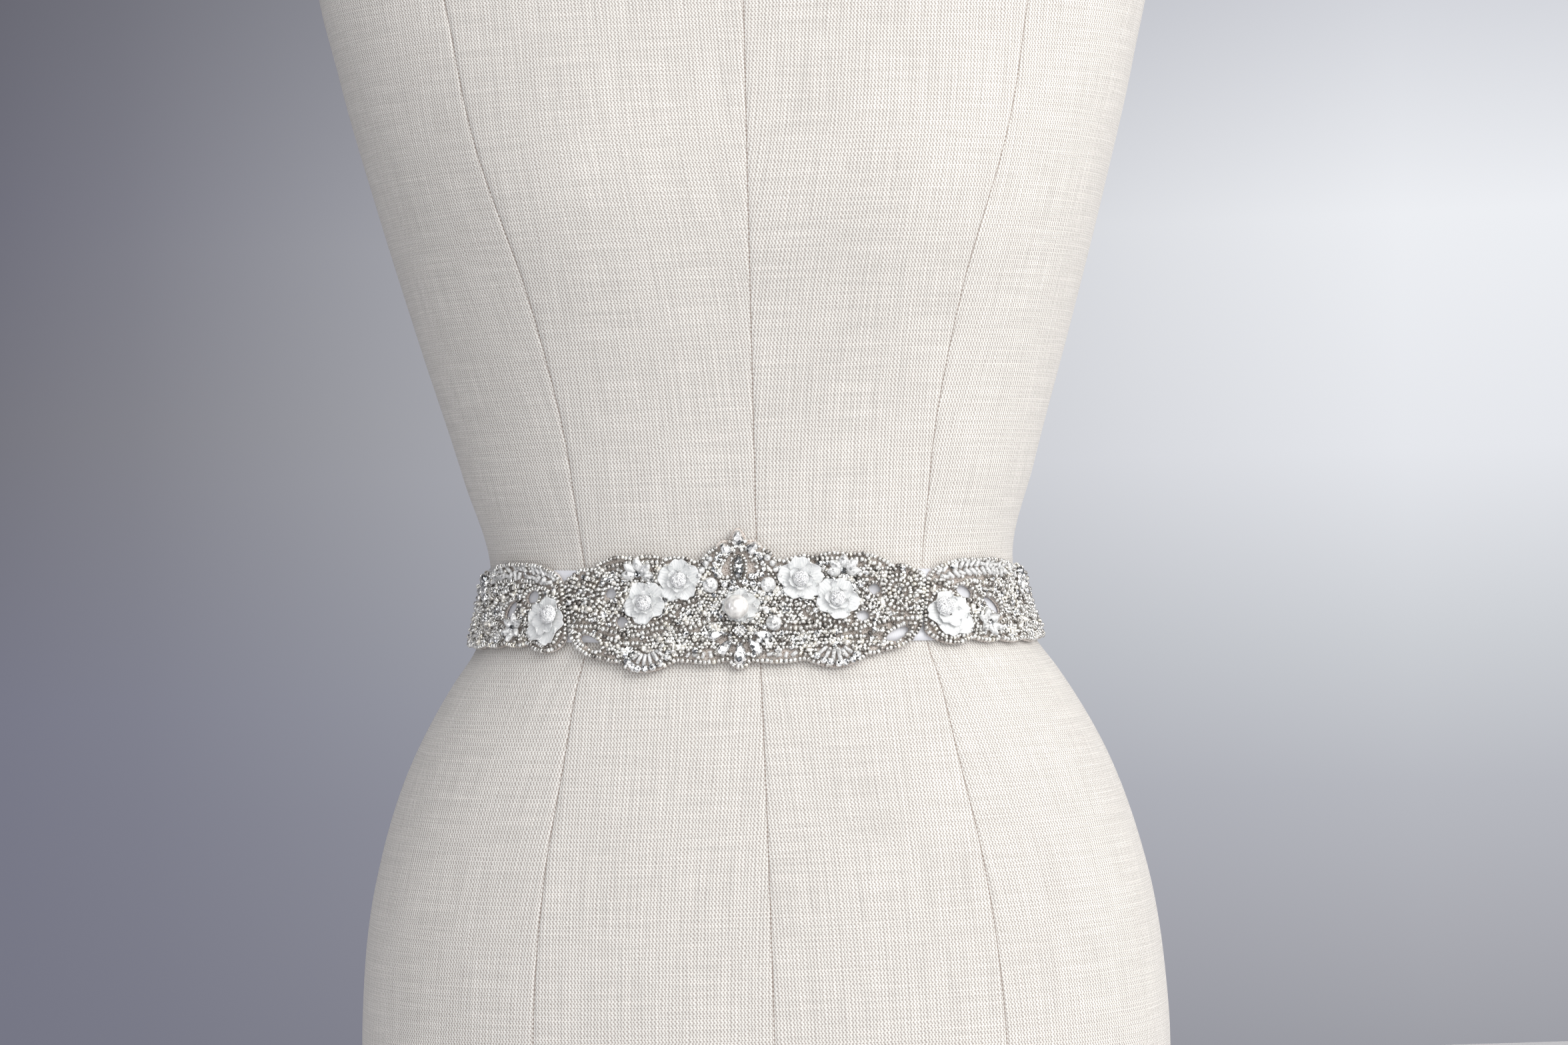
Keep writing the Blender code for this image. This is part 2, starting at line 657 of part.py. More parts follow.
def build_front_applique():
    half = outline_points(FRONT_OUTLINE, closed=False)
    loop = np.vstack([half, mirrored(half)[1:-1]])
    gaps = [oval(row) for row in FRONT_GAPS]
    loops = [loop, *gaps, *(mirrored(gap) for gap in gaps)]
    ropes = front_ropes()
    ropes += [mirrored(rope) for rope in ropes]
    seats = [flower_seat(PEARL_CUP)]
    for row in (*FRONT_FLOWERS, FRONT_CRYSTAL_FLOWER):
        seats += [flower_seat(row), mirrored(flower_seat(row))]
    seats += [stone_seat(row) for row in STONES if abs(row[1]) < FRONT_REACH]
    applique("front_applique", loops, ropes, seats)


def build_side_applique(side):
    loop = outline_points(SIDE_OUTLINE, closed=True)
    loops = [loop, *(oval(row) for row in SIDE_GAPS)]
    ropes = side_ropes()
    seats = [flower_seat(SIDE_FLOWER), flower_seat(SIDE_CRYSTAL_FLOWER)]
    seats += [stone_seat(row) for row in STONES if row[1] > FRONT_REACH]
    if side == "left":
        loops = [mirrored(points) for points in loops]
        ropes = [mirrored(points) for points in ropes]
        seats = [mirrored(points) for points in seats]
    applique(f"side_applique_{side}", loops, ropes, seats)


def trim_base():
    """How far out of the form the trim's underside is."""
    return GROUND_OFFSET + GROUND_THICKNESS + TRIM_GAP


def dome_rings(row_shape, around, rings):
    """Points of a low solid on the applique, from its rim at the back round to its middle.

    row_shape gives along, up and offset in millimetres for a share of the radius and a turn."""
    turn = np.linspace(0, 2 * math.pi, around, endpoint=False)
    points = []
    for share in rings:
        along, up, rise = row_shape(share, turn)
        points.append(lay_on_form(along * MM, up * MM, trim_base() + np.asarray(rise) * MM))
    return points


def add_dome(name, row_shape, around, rings, finish):
    """A solid with a plain back and a shaped front that closes on one middle point."""
    turn = np.linspace(0, 2 * math.pi, around, endpoint=False)
    along, up, _ = row_shape(1.0, turn)
    back = lay_on_form(along * MM, up * MM, trim_base())
    front = dome_rings(row_shape, around, rings)
    along, up, rise = row_shape(0.0, turn[:1])
    middle = lay_on_form(along * MM, up * MM, trim_base() + np.asarray(rise) * MM)
    points = np.vstack([back, *front, middle])
    rows = len(front) + 1
    faces = ring_faces(rows, around)
    faces.append(tuple(range(around)))
    last, tip = (rows - 1) * around, rows * around
    faces += [(last + i, last + (i + 1) % around, tip) for i in range(around)]
    return add_piece(name, points, faces, finish)


def flower(name, row, finish, fills=1.0, rise=FLOWER_RISE):
    """Petals that dip between each other and cup up towards their tips."""
    along, up, radius, petals, start = row
    start = math.radians(start)

    def shape(share, turn):
        away = np.angle(np.exp(1j * (turn - start)))
        lobe = np.abs(np.cos(petals * away / 2)) ** 0.7
        reach = radius * (DIP_SHARE + (1 - DIP_SHARE) * lobe)
        if fills < 1:
            reach = reach * (1 - 0.46 * ease((np.abs(away) - math.pi * fills) / 0.5))
        cupped = (0.30 + 0.45 * share) * math.sin(math.pi * min(share, 0.72))
        lift = PETAL_THICKNESS + rise * cupped * lobe + 0.5 * (1 - share)
        return along + share * reach * np.cos(turn), up + share * reach * np.sin(turn), lift

    return add_dome(name, shape, petals * PETAL_POINTS, (1.0, 0.74, 0.40), finish)


def ball(name, along, up, sizes, finish):
    """A round bead, flattened where it sits. sizes are its radius, its rise and its seat."""
    radius, rise, seat = sizes
    turn = np.linspace(0, 2 * math.pi, BALL_SIDES, endpoint=False)
    rings = []
    for share, level in ((0.62, 0.0), (0.92, 0.16), (1.0, 0.35), (0.78, 0.76)):
        rings.append(lay_on_form((along + radius * share * np.cos(turn)) * MM,
                                 (up + radius * share * np.sin(turn)) * MM,
                                 trim_base() + (seat + rise * level) * MM))
    rings.append(lay_on_form([along * MM], [up * MM], [trim_base() + (seat + rise) * MM]))
    last, tip = (len(rings) - 2) * BALL_SIDES, (len(rings) - 1) * BALL_SIDES
    faces = ring_faces(len(rings) - 1, BALL_SIDES) + [tuple(range(BALL_SIDES))]
    faces += [(last + i, last + (i + 1) % BALL_SIDES, tip) for i in range(BALL_SIDES)]
    return add_piece(name, np.vstack(rings), faces, finish)


def cut_stone(name, along, up, half_width, half_length, turn, rise):
    """A stone with a straight girdle, sloping facets and a flat table, drop shaped if long."""
    x, y = stone_outline(half_width, half_length, turn, STONE_SIDES).T
    rings = []
    for share, level in ((1.0, 0.0), (1.0, 0.45), (0.62, 1.0)):
        rings.append(lay_on_form((along + x * share) * MM, (up + y * share) * MM,
                                 trim_base() + rise * level * MM))
    finish = "clear_crystal" if name.startswith(("clear", "side_bead")) else "silver_beads"
    piece = stacked_rings(name, rings, finish)
    piece.data.shade_flat()
    return piece


def on_side(row, side):
    """A flower's row, or that row mirrored to the sash's left."""
    along, up, radius, petals, turn = row[:5]
    if side == "left":
        along, turn = -along, 180 - turn
    return along, up, radius, petals, turn


def build_trim():
    """The flowers, the pearl and the stones that are sewn on the appliques."""
    for side in ("left", "right"):
        for number, row in enumerate(FRONT_FLOWERS, 1):
            placed = on_side(row, side)
            flower(f"cloth_flower_{number}_{side}", placed, "white_organza")
            ball(f"flower_ball_{number}_{side}", placed[0], placed[1], FLOWER_BALL, "silver_beads")
        placed = on_side(SIDE_FLOWER, side)
        flower(f"cloth_flower_side_{side}", placed, "white_organza")
        inward = SIDE_BALL_SHIFT[0] * (1 if side == "right" else -1)
        ball(f"flower_ball_side_{side}", placed[0] + inward, placed[1] + SIDE_BALL_SHIFT[1],
             SIDE_BALL, "silver_beads")
        flower(f"crystal_flower_front_{side}", on_side(FRONT_CRYSTAL_FLOWER, side),
               "clear_crystal", FRONT_CRYSTAL_FLOWER[5])
        flower(f"crystal_flower_side_{side}", on_side(SIDE_CRYSTAL_FLOWER, side), "clear_crystal")
    flower("pearl_petals", PEARL_CUP, "white_organza", rise=CUP_RISE)
    ball("centre_pearl", PEARL_CUP[0] + PEARL_SHIFT[0], PEARL_CUP[1] + PEARL_SHIFT[1],
         PEARL_BALL, "pearl")
    for row in STONES:
        cut_stone(*row)


for old in list(bpy.data.objects):
    bpy.data.objects.remove(old)
MATERIALS = {name: make_finish(name) for name in FINISHES}
build_form()
build_ribbon()
build_front_applique()
build_side_applique("left")
build_side_applique("right")
build_trim()
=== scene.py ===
import math
import bpy
import numpy as np
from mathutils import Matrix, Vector


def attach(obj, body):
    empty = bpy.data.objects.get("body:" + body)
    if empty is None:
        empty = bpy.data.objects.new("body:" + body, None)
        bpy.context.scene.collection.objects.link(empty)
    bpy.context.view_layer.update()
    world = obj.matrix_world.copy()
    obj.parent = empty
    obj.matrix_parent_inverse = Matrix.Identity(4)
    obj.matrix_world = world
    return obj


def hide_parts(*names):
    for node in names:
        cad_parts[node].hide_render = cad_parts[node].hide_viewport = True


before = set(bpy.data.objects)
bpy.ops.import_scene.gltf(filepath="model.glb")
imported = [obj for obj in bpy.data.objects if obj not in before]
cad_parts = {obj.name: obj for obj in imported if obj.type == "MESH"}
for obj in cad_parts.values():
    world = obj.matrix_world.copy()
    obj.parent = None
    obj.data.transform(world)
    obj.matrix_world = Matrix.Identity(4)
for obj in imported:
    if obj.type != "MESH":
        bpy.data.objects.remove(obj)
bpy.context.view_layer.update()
scene = bpy.context.scene
mm = 0.001
print("frame loaded")


# Small tools

def linear(hexColour):  # sRGB hex to linear RGBA
    channels = np.array([int(hexColour[i:i + 2], 16) for i in (1, 3, 5)]) / 255
    bright = ((channels + 0.055) / 1.055) ** 2.4
    return (*(float(c) for c in np.where(channels <= 0.04045, channels / 12.92, bright)), 1.0)


def addNode(tree, kind, values=None, links=None, **settings):  # one node, set and linked
    node = tree.nodes.new("ShaderNode" + kind)
    for key, value in settings.items():
        setattr(node, key, value)
    for key, value in (values or {}).items():
        node.inputs[key].default_value = value
    for key, socket in (links or {}).items():
        tree.links.new(socket, node.inputs[key])
    return node


def startMaterial(name, colour, sockets):  # a Principled material with plain values on its sockets
    material = bpy.data.materials.new(name)
    material.use_nodes = True
    tree = material.node_tree
    shader = tree.nodes["Principled BSDF"]
    shader.inputs["Base Color"].default_value = linear(colour)
    for socket, value in sockets.items():
        shader.inputs[socket].default_value = value
    return material, tree, shader


def fillRamp(ramp, stops):  # colour ramp stops as (place, hex colour)
    while len(ramp.elements) < len(stops):
        ramp.elements.new(0.5)
    for element, (place, colour) in zip(ramp.elements, stops):
        element.position = place
        element.color = linear(colour)


def camelName(node):  # a CAD node's name as a piece's name
    return "".join(word.capitalize() if i else word for i, word in enumerate(node.split("_")))


def gridFaces(rows, columns, closeRows=False, closeColumns=False, start=0):
    # quads of a grid of points that is stored row by row
    row = np.arange(rows if closeRows else rows - 1)[:, None]
    column = np.arange(columns if closeColumns else columns - 1)[None]
    below, beside = (row + 1) % rows, (column + 1) % columns
    corners = [row * columns + column, row * columns + beside,
               below * columns + beside, below * columns + column]
    corners = [np.broadcast_to(c, (row.size, column.size)).ravel() for c in corners]
    return np.stack(corners, axis=1) + start


def meshPiece(name, points, faces, materials, uv=None, tone=None, slots=None, smooth=True):
    # points as an array, faces as arrays of point numbers, uv by point or by corner, tone by point
    points = np.asarray(points, float).reshape(-1, 3)
    counts = np.concatenate([np.full(len(f), f.shape[1]) for f in faces])
    corners = np.concatenate([f.ravel() for f in faces])
    mesh = bpy.data.meshes.new(name)
    mesh.vertices.add(len(points))
    mesh.vertices.foreach_set("co", points.ravel())
    mesh.loops.add(len(corners))
    mesh.loops.foreach_set("vertex_index", corners.astype(np.int32))
    mesh.polygons.add(len(counts))
    mesh.polygons.foreach_set("loop_start", (np.cumsum(counts) - counts).astype(np.int32))
    for material in materials if isinstance(materials, list) else [materials]:
        mesh.materials.append(material)
    mesh.update(calc_edges=True)
    if uv is not None:
        uv = uv if len(uv) == len(corners) else uv[corners]
        layer = mesh.uv_layers.new(name="clothUv")
        layer.data.foreach_set("uv", np.asarray(uv, float).ravel())
    if tone is not None:
        layer = mesh.attributes.new("tone", "FLOAT", "POINT")
        layer.data.foreach_set("value", np.asarray(tone, float))
    if slots is not None:
        mesh.polygons.foreach_set("material_index", np.asarray(slots, np.int32))
    if smooth:
        mesh.shade_smooth()
    else:
        mesh.shade_flat()
    piece = bpy.data.objects.new(name, mesh)
    scene.collection.objects.link(piece)
    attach(piece, "root")
    return piece


# The dress form

formSizes = {
    "waistHeight": 0.300,
    "squareness": 2.25,  # 2 is an ellipse, more is flatter in front and at the sides
    "footRound": 0.003,
    "neckRound": 0.008,
    "bustHeight": 0.168,
    "bustSpacing": 0.156,
    "bustRise": 0.0145,
    "bustWide": 0.072,
    "bustTall": 0.064,
    "middleY": -0.00044,  # moves the form so that its box is centred
    "rows": 250,
    "panelColumns": 22,
    "seamDepth": 0.00032,
    "seamHalfWidth": 0.7 * mm,
    "seamShift": 0.9,  # degrees that the front seams stand off the middle
    "puffHeight": 0.07 * mm,  # the cloth swells a little beside a seam
    "puffPlace": 3 * mm,
    "puffHalfWidth": 2 * mm,
    "panelShift": 0.37,  # from panel to panel, so that each is cut from another stretch of linen
}
# height above the waist, half width, depth in front of the middle, depth behind it
formSections = np.array([
    (-0.2970, 0.1830, 0.1160, 0.1120),
    (-0.2050, 0.1865, 0.1190, 0.1200),
    (-0.1410, 0.1785, 0.1130, 0.1140),
    (-0.0790, 0.1570, 0.1035, 0.0990),
    (-0.0500, 0.1400, 0.0965, 0.0905),
    (-0.0350, 0.1295, 0.0925, 0.0865),
    (-0.0200, 0.1242, 0.0895, 0.0840),
    (0.0000, 0.1210, 0.0880, 0.0830),
    (0.0450, 0.1323, 0.0915, 0.0850),
    (0.1070, 0.1505, 0.0990, 0.0915),
    (0.1690, 0.1680, 0.1030, 0.1000),
    (0.2310, 0.1840, 0.0960, 0.1050),
    (0.2850, 0.1940, 0.0830, 0.1020),
    (0.3180, 0.1905, 0.0740, 0.0950),
    (0.3420, 0.1640, 0.0680, 0.0860),
    (0.3620, 0.1220, 0.0610, 0.0760),
    (0.3850, 0.0780, 0.0530, 0.0650),
    (0.4100, 0.0620, 0.0490, 0.0590),
    (0.4320, 0.0590, 0.0475, 0.0575),
])
# height above the waist, turn in degrees of the princess seams in front and at the back
princessSeams = np.array([
    (-0.30, 31.0, 146.0),
    (-0.20, 31.0, 147.0),
    (-0.13, 30.5, 149.0),
    (-0.08, 30.5, 151.0),
    (-0.04, 33.0, 152.0),
    (0.01, 36.0, 152.0),
    (0.05, 34.5, 150.0),
    (0.12, 35.5, 147.0),
    (0.19, 40.0, 144.0),
    (0.26, 41.0, 142.0),
    (0.33, 43.0, 140.0),
    (0.44, 46.0, 138.0),
])


def smoothTable(table, height):
    # cubic curves through the columns of a table, read at heights
    rows = table[:, 0]
    height = np.clip(height, rows[0], rows[-1])
    low = np.clip(np.searchsorted(rows, height) - 1, 0, len(rows) - 2)
    span = rows[low + 1] - rows[low]
    t = (height - rows[low]) / span
    curves = []
    for column in table[:, 1:].T:
        slope = np.gradient(column, rows)
        start = (2 * t**3 - 3 * t**2 + 1) * column[low] + (t**3 - 2 * t**2 + t) * span * slope[low]
        end = (3 * t**2 - 2 * t**3) * column[low + 1] + (t**3 - t**2) * span * slope[low + 1]
        curves.append(start + end)
    return curves


def formPoint(turn, height):
    # superellipse at each height, with two soft mounds added in front; turn is 0 at the front
    turn, height = np.broadcast_arrays(np.asarray(turn, float), np.asarray(height, float))
    halfWidth, front, back = smoothTable(formSections, height)
    side, ahead = np.sin(turn), np.cos(turn)
    power = 2 / formSizes["squareness"]
    x = halfWidth * np.sign(side) * np.abs(side) ** power
    y = -np.where(ahead > 0, front, back) * np.sign(ahead) * np.abs(ahead) ** power
    right = (x - formSizes["bustSpacing"] / 2) / formSizes["bustWide"]
    left = (x + formSizes["bustSpacing"] / 2) / formSizes["bustWide"]
    upward = (height - formSizes["bustHeight"]) / formSizes["bustTall"]
    mounds = (np.exp(-(right**2)) + np.exp(-(left**2))) * np.exp(-(upward**2))
    y = y - formSizes["bustRise"] * mounds * np.clip(2 * ahead, 0, 1)
    return np.stack([x, y, height], axis=-1)


def formSurface(turn, height, offset):
    # points at an offset along the form's normal, in the part's frame
    turn, height, offset = np.broadcast_arrays(turn, height, np.asarray(offset, float))
    small = 1e-4
    ahead = formPoint(turn + small, height) - formPoint(turn - small, height)
    rising = formPoint(turn, height + small) - formPoint(turn, height - small)
    normal = np.cross(ahead, rising)
    normal /= np.linalg.norm(normal, axis=-1, keepdims=True)
    middle = np.array([0, formSizes["middleY"], formSizes["waistHeight"]])
    return formPoint(turn, height) + normal * offset[..., None] + middle


# Linen: undyed flax in plain weave. Matt, with pale slubs along the weft, and warp threads that
# stand as wavy columns; painted shade makes the weave's low places and the small gaps beside each
# column brownish dark, and the threads' crowns paler. A column is 1.5 mm from the next, on the
# real one about 1.4 mm, and the wefts repeat after two threads, 2 mm.
linenSizes = {"warp": 1.50 * mm, "weft": 1.98 * mm, "stitch": 2.1 * mm, "seamWidth": 0.50 * mm}


def linenMaterial():
    material, tree, shader = startMaterial("wovenLinen", "#c6c3bf", {
        "Roughness": 0.88, "Specular IOR Level": 0.25,
        "Sheen Weight": 0.25, "Sheen Roughness": 0.6})
    uv = addNode(tree, "UVMap", uv_map="clothUv").outputs["UV"]
    parts = addNode(tree, "SeparateXYZ", links={0: uv})

    def combine(operation, first, second, third=None):  # one sum, each term a socket or a number
        node = addNode(tree, "Math", operation=operation)
        for place, term in enumerate((first, second, third)):
            if isinstance(term, (int, float)):
                node.inputs[place].default_value = term
            elif term is not None:
                tree.links.new(term, node.inputs[place])
        return node.outputs[0]

    def noise(scale, detail=2.0):
        stretched = addNode(tree, "Mapping", {"Scale": scale}, {"Vector": uv})
        return addNode(tree, "TexNoise", {"Scale": 1.0, "Detail": detail, "Roughness": 0.6},
                       {"Vector": stretched.outputs[0]}).outputs["Fac"]

    def cosine(turn):
        return combine("COSINE", turn, 0.0)

    # the columns bend once to each side in every weft repeat, and the wefts pass over and under
    wander = noise((260, 60, 1))
    across = combine("MULTIPLY", combine("MULTIPLY_ADD", wander, 0.0011, parts.outputs["X"]),
                     2 * math.pi / linenSizes["warp"])
    upward = combine("MULTIPLY", combine("MULTIPLY_ADD", wander, 0.0008, parts.outputs["Y"]),
                     2 * math.pi / linenSizes["weft"])
    sway = combine("MULTIPLY_ADD", combine("SINE", upward, 0.0), 1.15, across)
    weave = combine("MULTIPLY", cosine(sway), 0.58)
    weave = combine("MULTIPLY_ADD", cosine(combine("ADD", across, upward)), 0.18, weave)
    weave = combine("MULTIPLY_ADD", cosine(combine("MULTIPLY", upward, 2.0)), 0.16, weave)
    weave = combine("MULTIPLY_ADD", noise((900, 900, 1)), 0.5, combine("SUBTRACT", weave, 0.25))
    overShare = addNode(tree, "MapRange", {1: -0.95, 2: 0.95}, {0: weave})
    # painted shade: where the weave lies low it is darker and brownish, where it stands high it is
    # paler
    threads = addNode(tree, "ValToRGB", links={"Fac": overShare.outputs[0]})
    fillRamp(threads.color_ramp, [(0.0, "#8a827c"), (0.26, "#afa9a4"), (0.5, "#c6c2be"),
                                  (0.78, "#d3d1cd"), (1.0, "#dedddb")])

    # slubs along the weft, warp threads of uneven tone, and a faint mottle
    tone = None
    for scale, low, high, dark, pale in (((26, 1050, 1), 0.40, 0.74, 0.965, 1.14),
                                         ((660, 22, 1), 0.30, 0.70, 0.92, 1.06),
                                         ((24, 20, 1), 0.35, 0.65, 0.985, 1.01)):
        streak = addNode(tree, "MapRange", {1: low, 2: high, 3: dark, 4: pale},
                         {0: noise(scale)}).outputs[0]
        tone = combine("MULTIPLY", tone, streak) if tone else streak
    cloth = addNode(tree, "Mix", {0: 1.0}, {6: threads.outputs["Color"], 7: tone},
                    data_type="RGBA", blend_type="MULTIPLY")

    # the seams are sewn with brown thread, which shows as uneven dots
    seam = addNode(tree, "Attribute", attribute_name="seamDistance")
    near = addNode(tree, "MapRange", {1: 0.0, 2: linenSizes["seamWidth"], 3: 1.0, 4: 0.0},
                   {0: seam.outputs["Fac"]}, interpolation_type="SMOOTHSTEP")
    run = combine("MULTIPLY", parts.outputs["Y"], 2 * math.pi / linenSizes["stitch"])
    run = combine("SINE", combine("MULTIPLY_ADD", noise((40, 420, 1)), 7.0, run), 0.0)
    dots = addNode(tree, "MapRange", {1: -0.7, 2: 0.6, 3: 0.45, 4: 1.0}, {0: run})
    stitched = combine("MULTIPLY", combine("MULTIPLY", near.outputs[0], dots.outputs[0]), 0.95)
    colour = addNode(tree, "Mix", links={0: stitched, 6: cloth.outputs[2]}, data_type="RGBA")
    colour.inputs[7].default_value = linear("#6f5d52")
    tree.links.new(colour.outputs[2], shader.inputs["Base Color"])

    bump = addNode(tree, "Bump", {"Strength": 0.4, "Distance": 0.0002},
                   {"Height": overShare.outputs[0]})
    tree.links.new(bump.outputs[0], shader.inputs["Normal"])
    return material


def seamTurns(height):  # the turns of the eight seams at each height, from the back round again
    front, back = smoothTable(princessSeams, height)
    shift = math.radians(formSizes["seamShift"])
    front, back = np.radians(front), np.radians(back)
    side = np.full_like(front, math.pi / 2)
    end = np.full_like(front, math.pi)
    return np.stack([-end, -back, -side, shift - front, 0 * front + shift, front + shift,
                     side, back, end], axis=1)


def roundedEnd(ring, radius, way):
    # rings that round an end over along a quarter circle and then close it on a flat face
    middle = ring.mean(axis=0)
    outward = (ring - middle) / np.linalg.norm(ring - middle, axis=1, keepdims=True)
    rings = []
    for angle in np.radians((22.5, 45, 67.5, 90)):
        over = ring - outward * radius * (1 - math.cos(angle))
        over[:, 2] += way * radius * math.sin(angle)
        rings.append(over)
    flat = rings[-1]
    middle = flat.mean(axis=0)
    rings += [middle + (flat - middle) * share for share in (0.85, 0.6, 0.3, 0.05)]
    return rings


def buildForm():
    # each ring is cut into eight panels at the seams, with columns close together beside a seam
    size = formSizes
    heights = np.linspace(formSections[0, 0], formSections[-1, 0], size["rows"])
    dense = np.linspace(-math.pi, math.pi, 1441)
    rings = formPoint(dense[None], heights[:, None])
    arcs = np.cumsum(np.linalg.norm(np.diff(rings[..., :2], axis=1), axis=2), axis=1)
    arcs = np.hstack([np.zeros((len(heights), 1)), arcs])
    seams = seamTurns(heights)
    seamArcs = np.stack([np.interp(t, dense, a) for t, a in zip(seams, arcs)])
    near = np.array([0, 0.6, 1.4, 3.0, 5.5]) * mm
    starts, lefts, rights, tones = [], [], [], []
    for panel in range(seams.shape[1] - 1):
        width = (seamArcs[:, panel + 1] - seamArcs[:, panel])[:, None]
        inner = np.linspace(0, 1, size["panelColumns"])[None, 1:-1]
        inner = near[-1] + (width - 2 * near[-1]) * inner
        edge = np.broadcast_to(near, (len(heights), len(near)))
        across = np.hstack([edge, inner, width - edge[:, ::-1]])
        starts.append(seamArcs[:, panel, None] + across[:, :-1])
        lefts.append(across[:, :-1] - width / 2 + panel * size["panelShift"])
        rights.append(across[:, 1:] - width / 2 + panel * size["panelShift"])
        tones.append(np.minimum(across, width - across)[:, :-1])
    places, left, right, gaps = (np.hstack(a) for a in (starts, lefts, rights, tones))
    turn = np.stack([np.interp(p, a, dense) for p, a in zip(places, arcs)])
    groove = np.exp(-((gaps / size["seamHalfWidth"]) ** 2)) * size["seamDepth"]
    besideSeam = (gaps - size["puffPlace"]) / size["puffHalfWidth"]
    puff = np.exp(-(besideSeam**2)) * size["puffHeight"]
    body = formSurface(turn, heights[:, None], puff - groove)
    foot = roundedEnd(body[0], size["footRound"], -1)[::-1]
    neck = roundedEnd(body[-1], size["neckRound"], 1)
    columns = turn.shape[1]
    points = np.vstack([*foot, body.reshape(-1, 3), *neck])

    profile = formPoint(0.6, heights)
    run = np.concatenate([[0], np.cumsum(np.linalg.norm(np.diff(profile, axis=0), axis=1))])
    run = np.broadcast_to(run[:, None], turn.shape)
    bodyFaces = gridFaces(len(heights), columns, closeColumns=True, start=len(foot) * columns)
    bodyUv = np.stack([np.stack([left[:-1], run[:-1]], -1), np.stack([right[:-1], run[:-1]], -1),
                       np.stack([right[1:], run[1:]], -1), np.stack([left[1:], run[1:]], -1)], 2)
    first = (len(foot) + len(heights) - 1) * columns
    footFaces = gridFaces(len(foot) + 1, columns, closeColumns=True)
    neckFaces = gridFaces(len(neck) + 1, columns, closeColumns=True, start=first)
    ends = [np.arange(columns)[None, ::-1], (len(points) - columns + np.arange(columns))[None]]
    flat = [points[f.ravel()][:, :2] for f in (footFaces, neckFaces, *ends)]
    uv = np.vstack([bodyUv.reshape(-1, 2), *flat])
    faces = [bodyFaces, footFaces, neckFaces, *ends]
    piece = meshPiece("formLinen", points, faces, linenMaterial(), uv=uv)
    rim = np.full((len(foot), columns), 0.02)
    top = np.full((len(neck), columns), 0.02)
    top[2:4] = 0
    layer = piece.data.attributes.new("seamDistance", "FLOAT", "POINT")
    layer.data.foreach_set("value", np.vstack([rim, gaps, top]).ravel())
    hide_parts("form_torso")
    return piece


buildForm()
print("form built")


# Laying the sash round the waist

sashSizes = {
    "height": -0.018,  # its middle line, from the waist
    "shift": -0.0055,  # its middle, from the form's middle
    "lean": math.radians(-1.45),  # the ring is lower on the right
    "groundOffset": 2.0,  # mm, the underside of the appliques
    "groundThickness": 0.6,
    "trimBase": 3.6,  # mm, the underside of flowers and stones
}
# how unevenly it is tied: along its pattern, how far each place is moved along and up in mm, and
# the share by which it is stretched in height
sashUneven = np.array([
    (-270.0, 0.0, 0.0, 0.00),
    (-189.0, 12.0, -2.2, 0.00),
    (-150.0, 11.5, -2.0, 0.00),
    (-125.0, 9.2, -1.0, 0.00),
    (-100.0, 6.4, -1.4, 0.01),
    (-84.0, 4.5, -2.4, 0.05),
    (-67.0, 3.6, -1.8, 0.07),
    (-43.0, 2.2, -1.5, 0.02),
    (-27.0, 1.6, -0.4, 0.00),
    (0.0, 0.4, 0.0, 0.00),
    (27.0, 0.0, 0.0, 0.00),
    (60.0, 0.0, 0.5, 0.00),
    (85.0, 0.2, 0.4, 0.00),
    (120.0, 0.0, 0.0, 0.00),
])
waistTurn = np.linspace(-2 * math.pi, 2 * math.pi, 5761)
waistRing = formPoint(waistTurn, sashSizes["height"])[:, :2]
waistRun = np.concatenate([[0], np.cumsum(np.linalg.norm(np.diff(waistRing, axis=0), axis=1))])
waistRun -= np.interp(0, waistTurn, waistRun)
girth = 2 * np.interp(math.pi, waistTurn, waistRun)


def laid(along, up, offset, uneven=True):
    # millimetres along, up and out of the form, wrapped round the waist and leaned a little
    along, up = np.asarray(along, float), np.asarray(up, float)
    if uneven:
        movedAlong, movedUp, stretch = smoothTable(sashUneven, along)
        along, up = along + movedAlong, up * (1 + stretch) + movedUp
    turn = np.interp(along * mm + sashSizes["shift"], waistRun, waistTurn)
    lean = math.tan(sashSizes["lean"]) * formPoint(turn, sashSizes["height"])[..., 0]
    return formSurface(turn, sashSizes["height"] + up * mm + lean, np.asarray(offset) * mm)


def laidFrames(along, up, offset):
    # a middle for each place, and its directions along, up and out
    small = 0.2
    way = laid(along + small, up, offset) - laid(along - small, up, offset)
    rise = laid(along, up + small, offset) - laid(along, up - small, offset)
    out = np.cross(way, rise)
    out /= np.linalg.norm(out, axis=-1, keepdims=True)
    way /= np.linalg.norm(way, axis=-1, keepdims=True)
    return laid(along, up, offset), np.stack([way, np.cross(out, way), out], axis=-2)


def turned(frames, axis, angle):  # frames turned about one of their own directions, in radians
    c, s = np.cos(angle)[..., None], np.sin(angle)[..., None]
    first, second = (axis + 1) % 3, (axis + 2) % 3
    result = frames.copy()
    result[..., first, :] = c * frames[..., first, :] + s * frames[..., second, :]
    result[..., second, :] = c * frames[..., second, :] - s * frames[..., first, :]
    return result


# The satin ribbon

ribbonSizes = {
    "width": 32.0, "offset": 0.5, "thickness": 1.0,
    "lap": 40.0, "ramp": 18.0, "lapGap": 0.6,  # where it laps over its own start at the back
    "raise": 2.0,  # its middle, above the middle of the appliques
    "selvedge": 0.8,  # how far in from its edges it is thinner
    "drape": 0.16,  # height of its soft waves
    "step": 2.5, "rows": 15,
    "hemStitches": 13, "hemInset": 4.0,
}


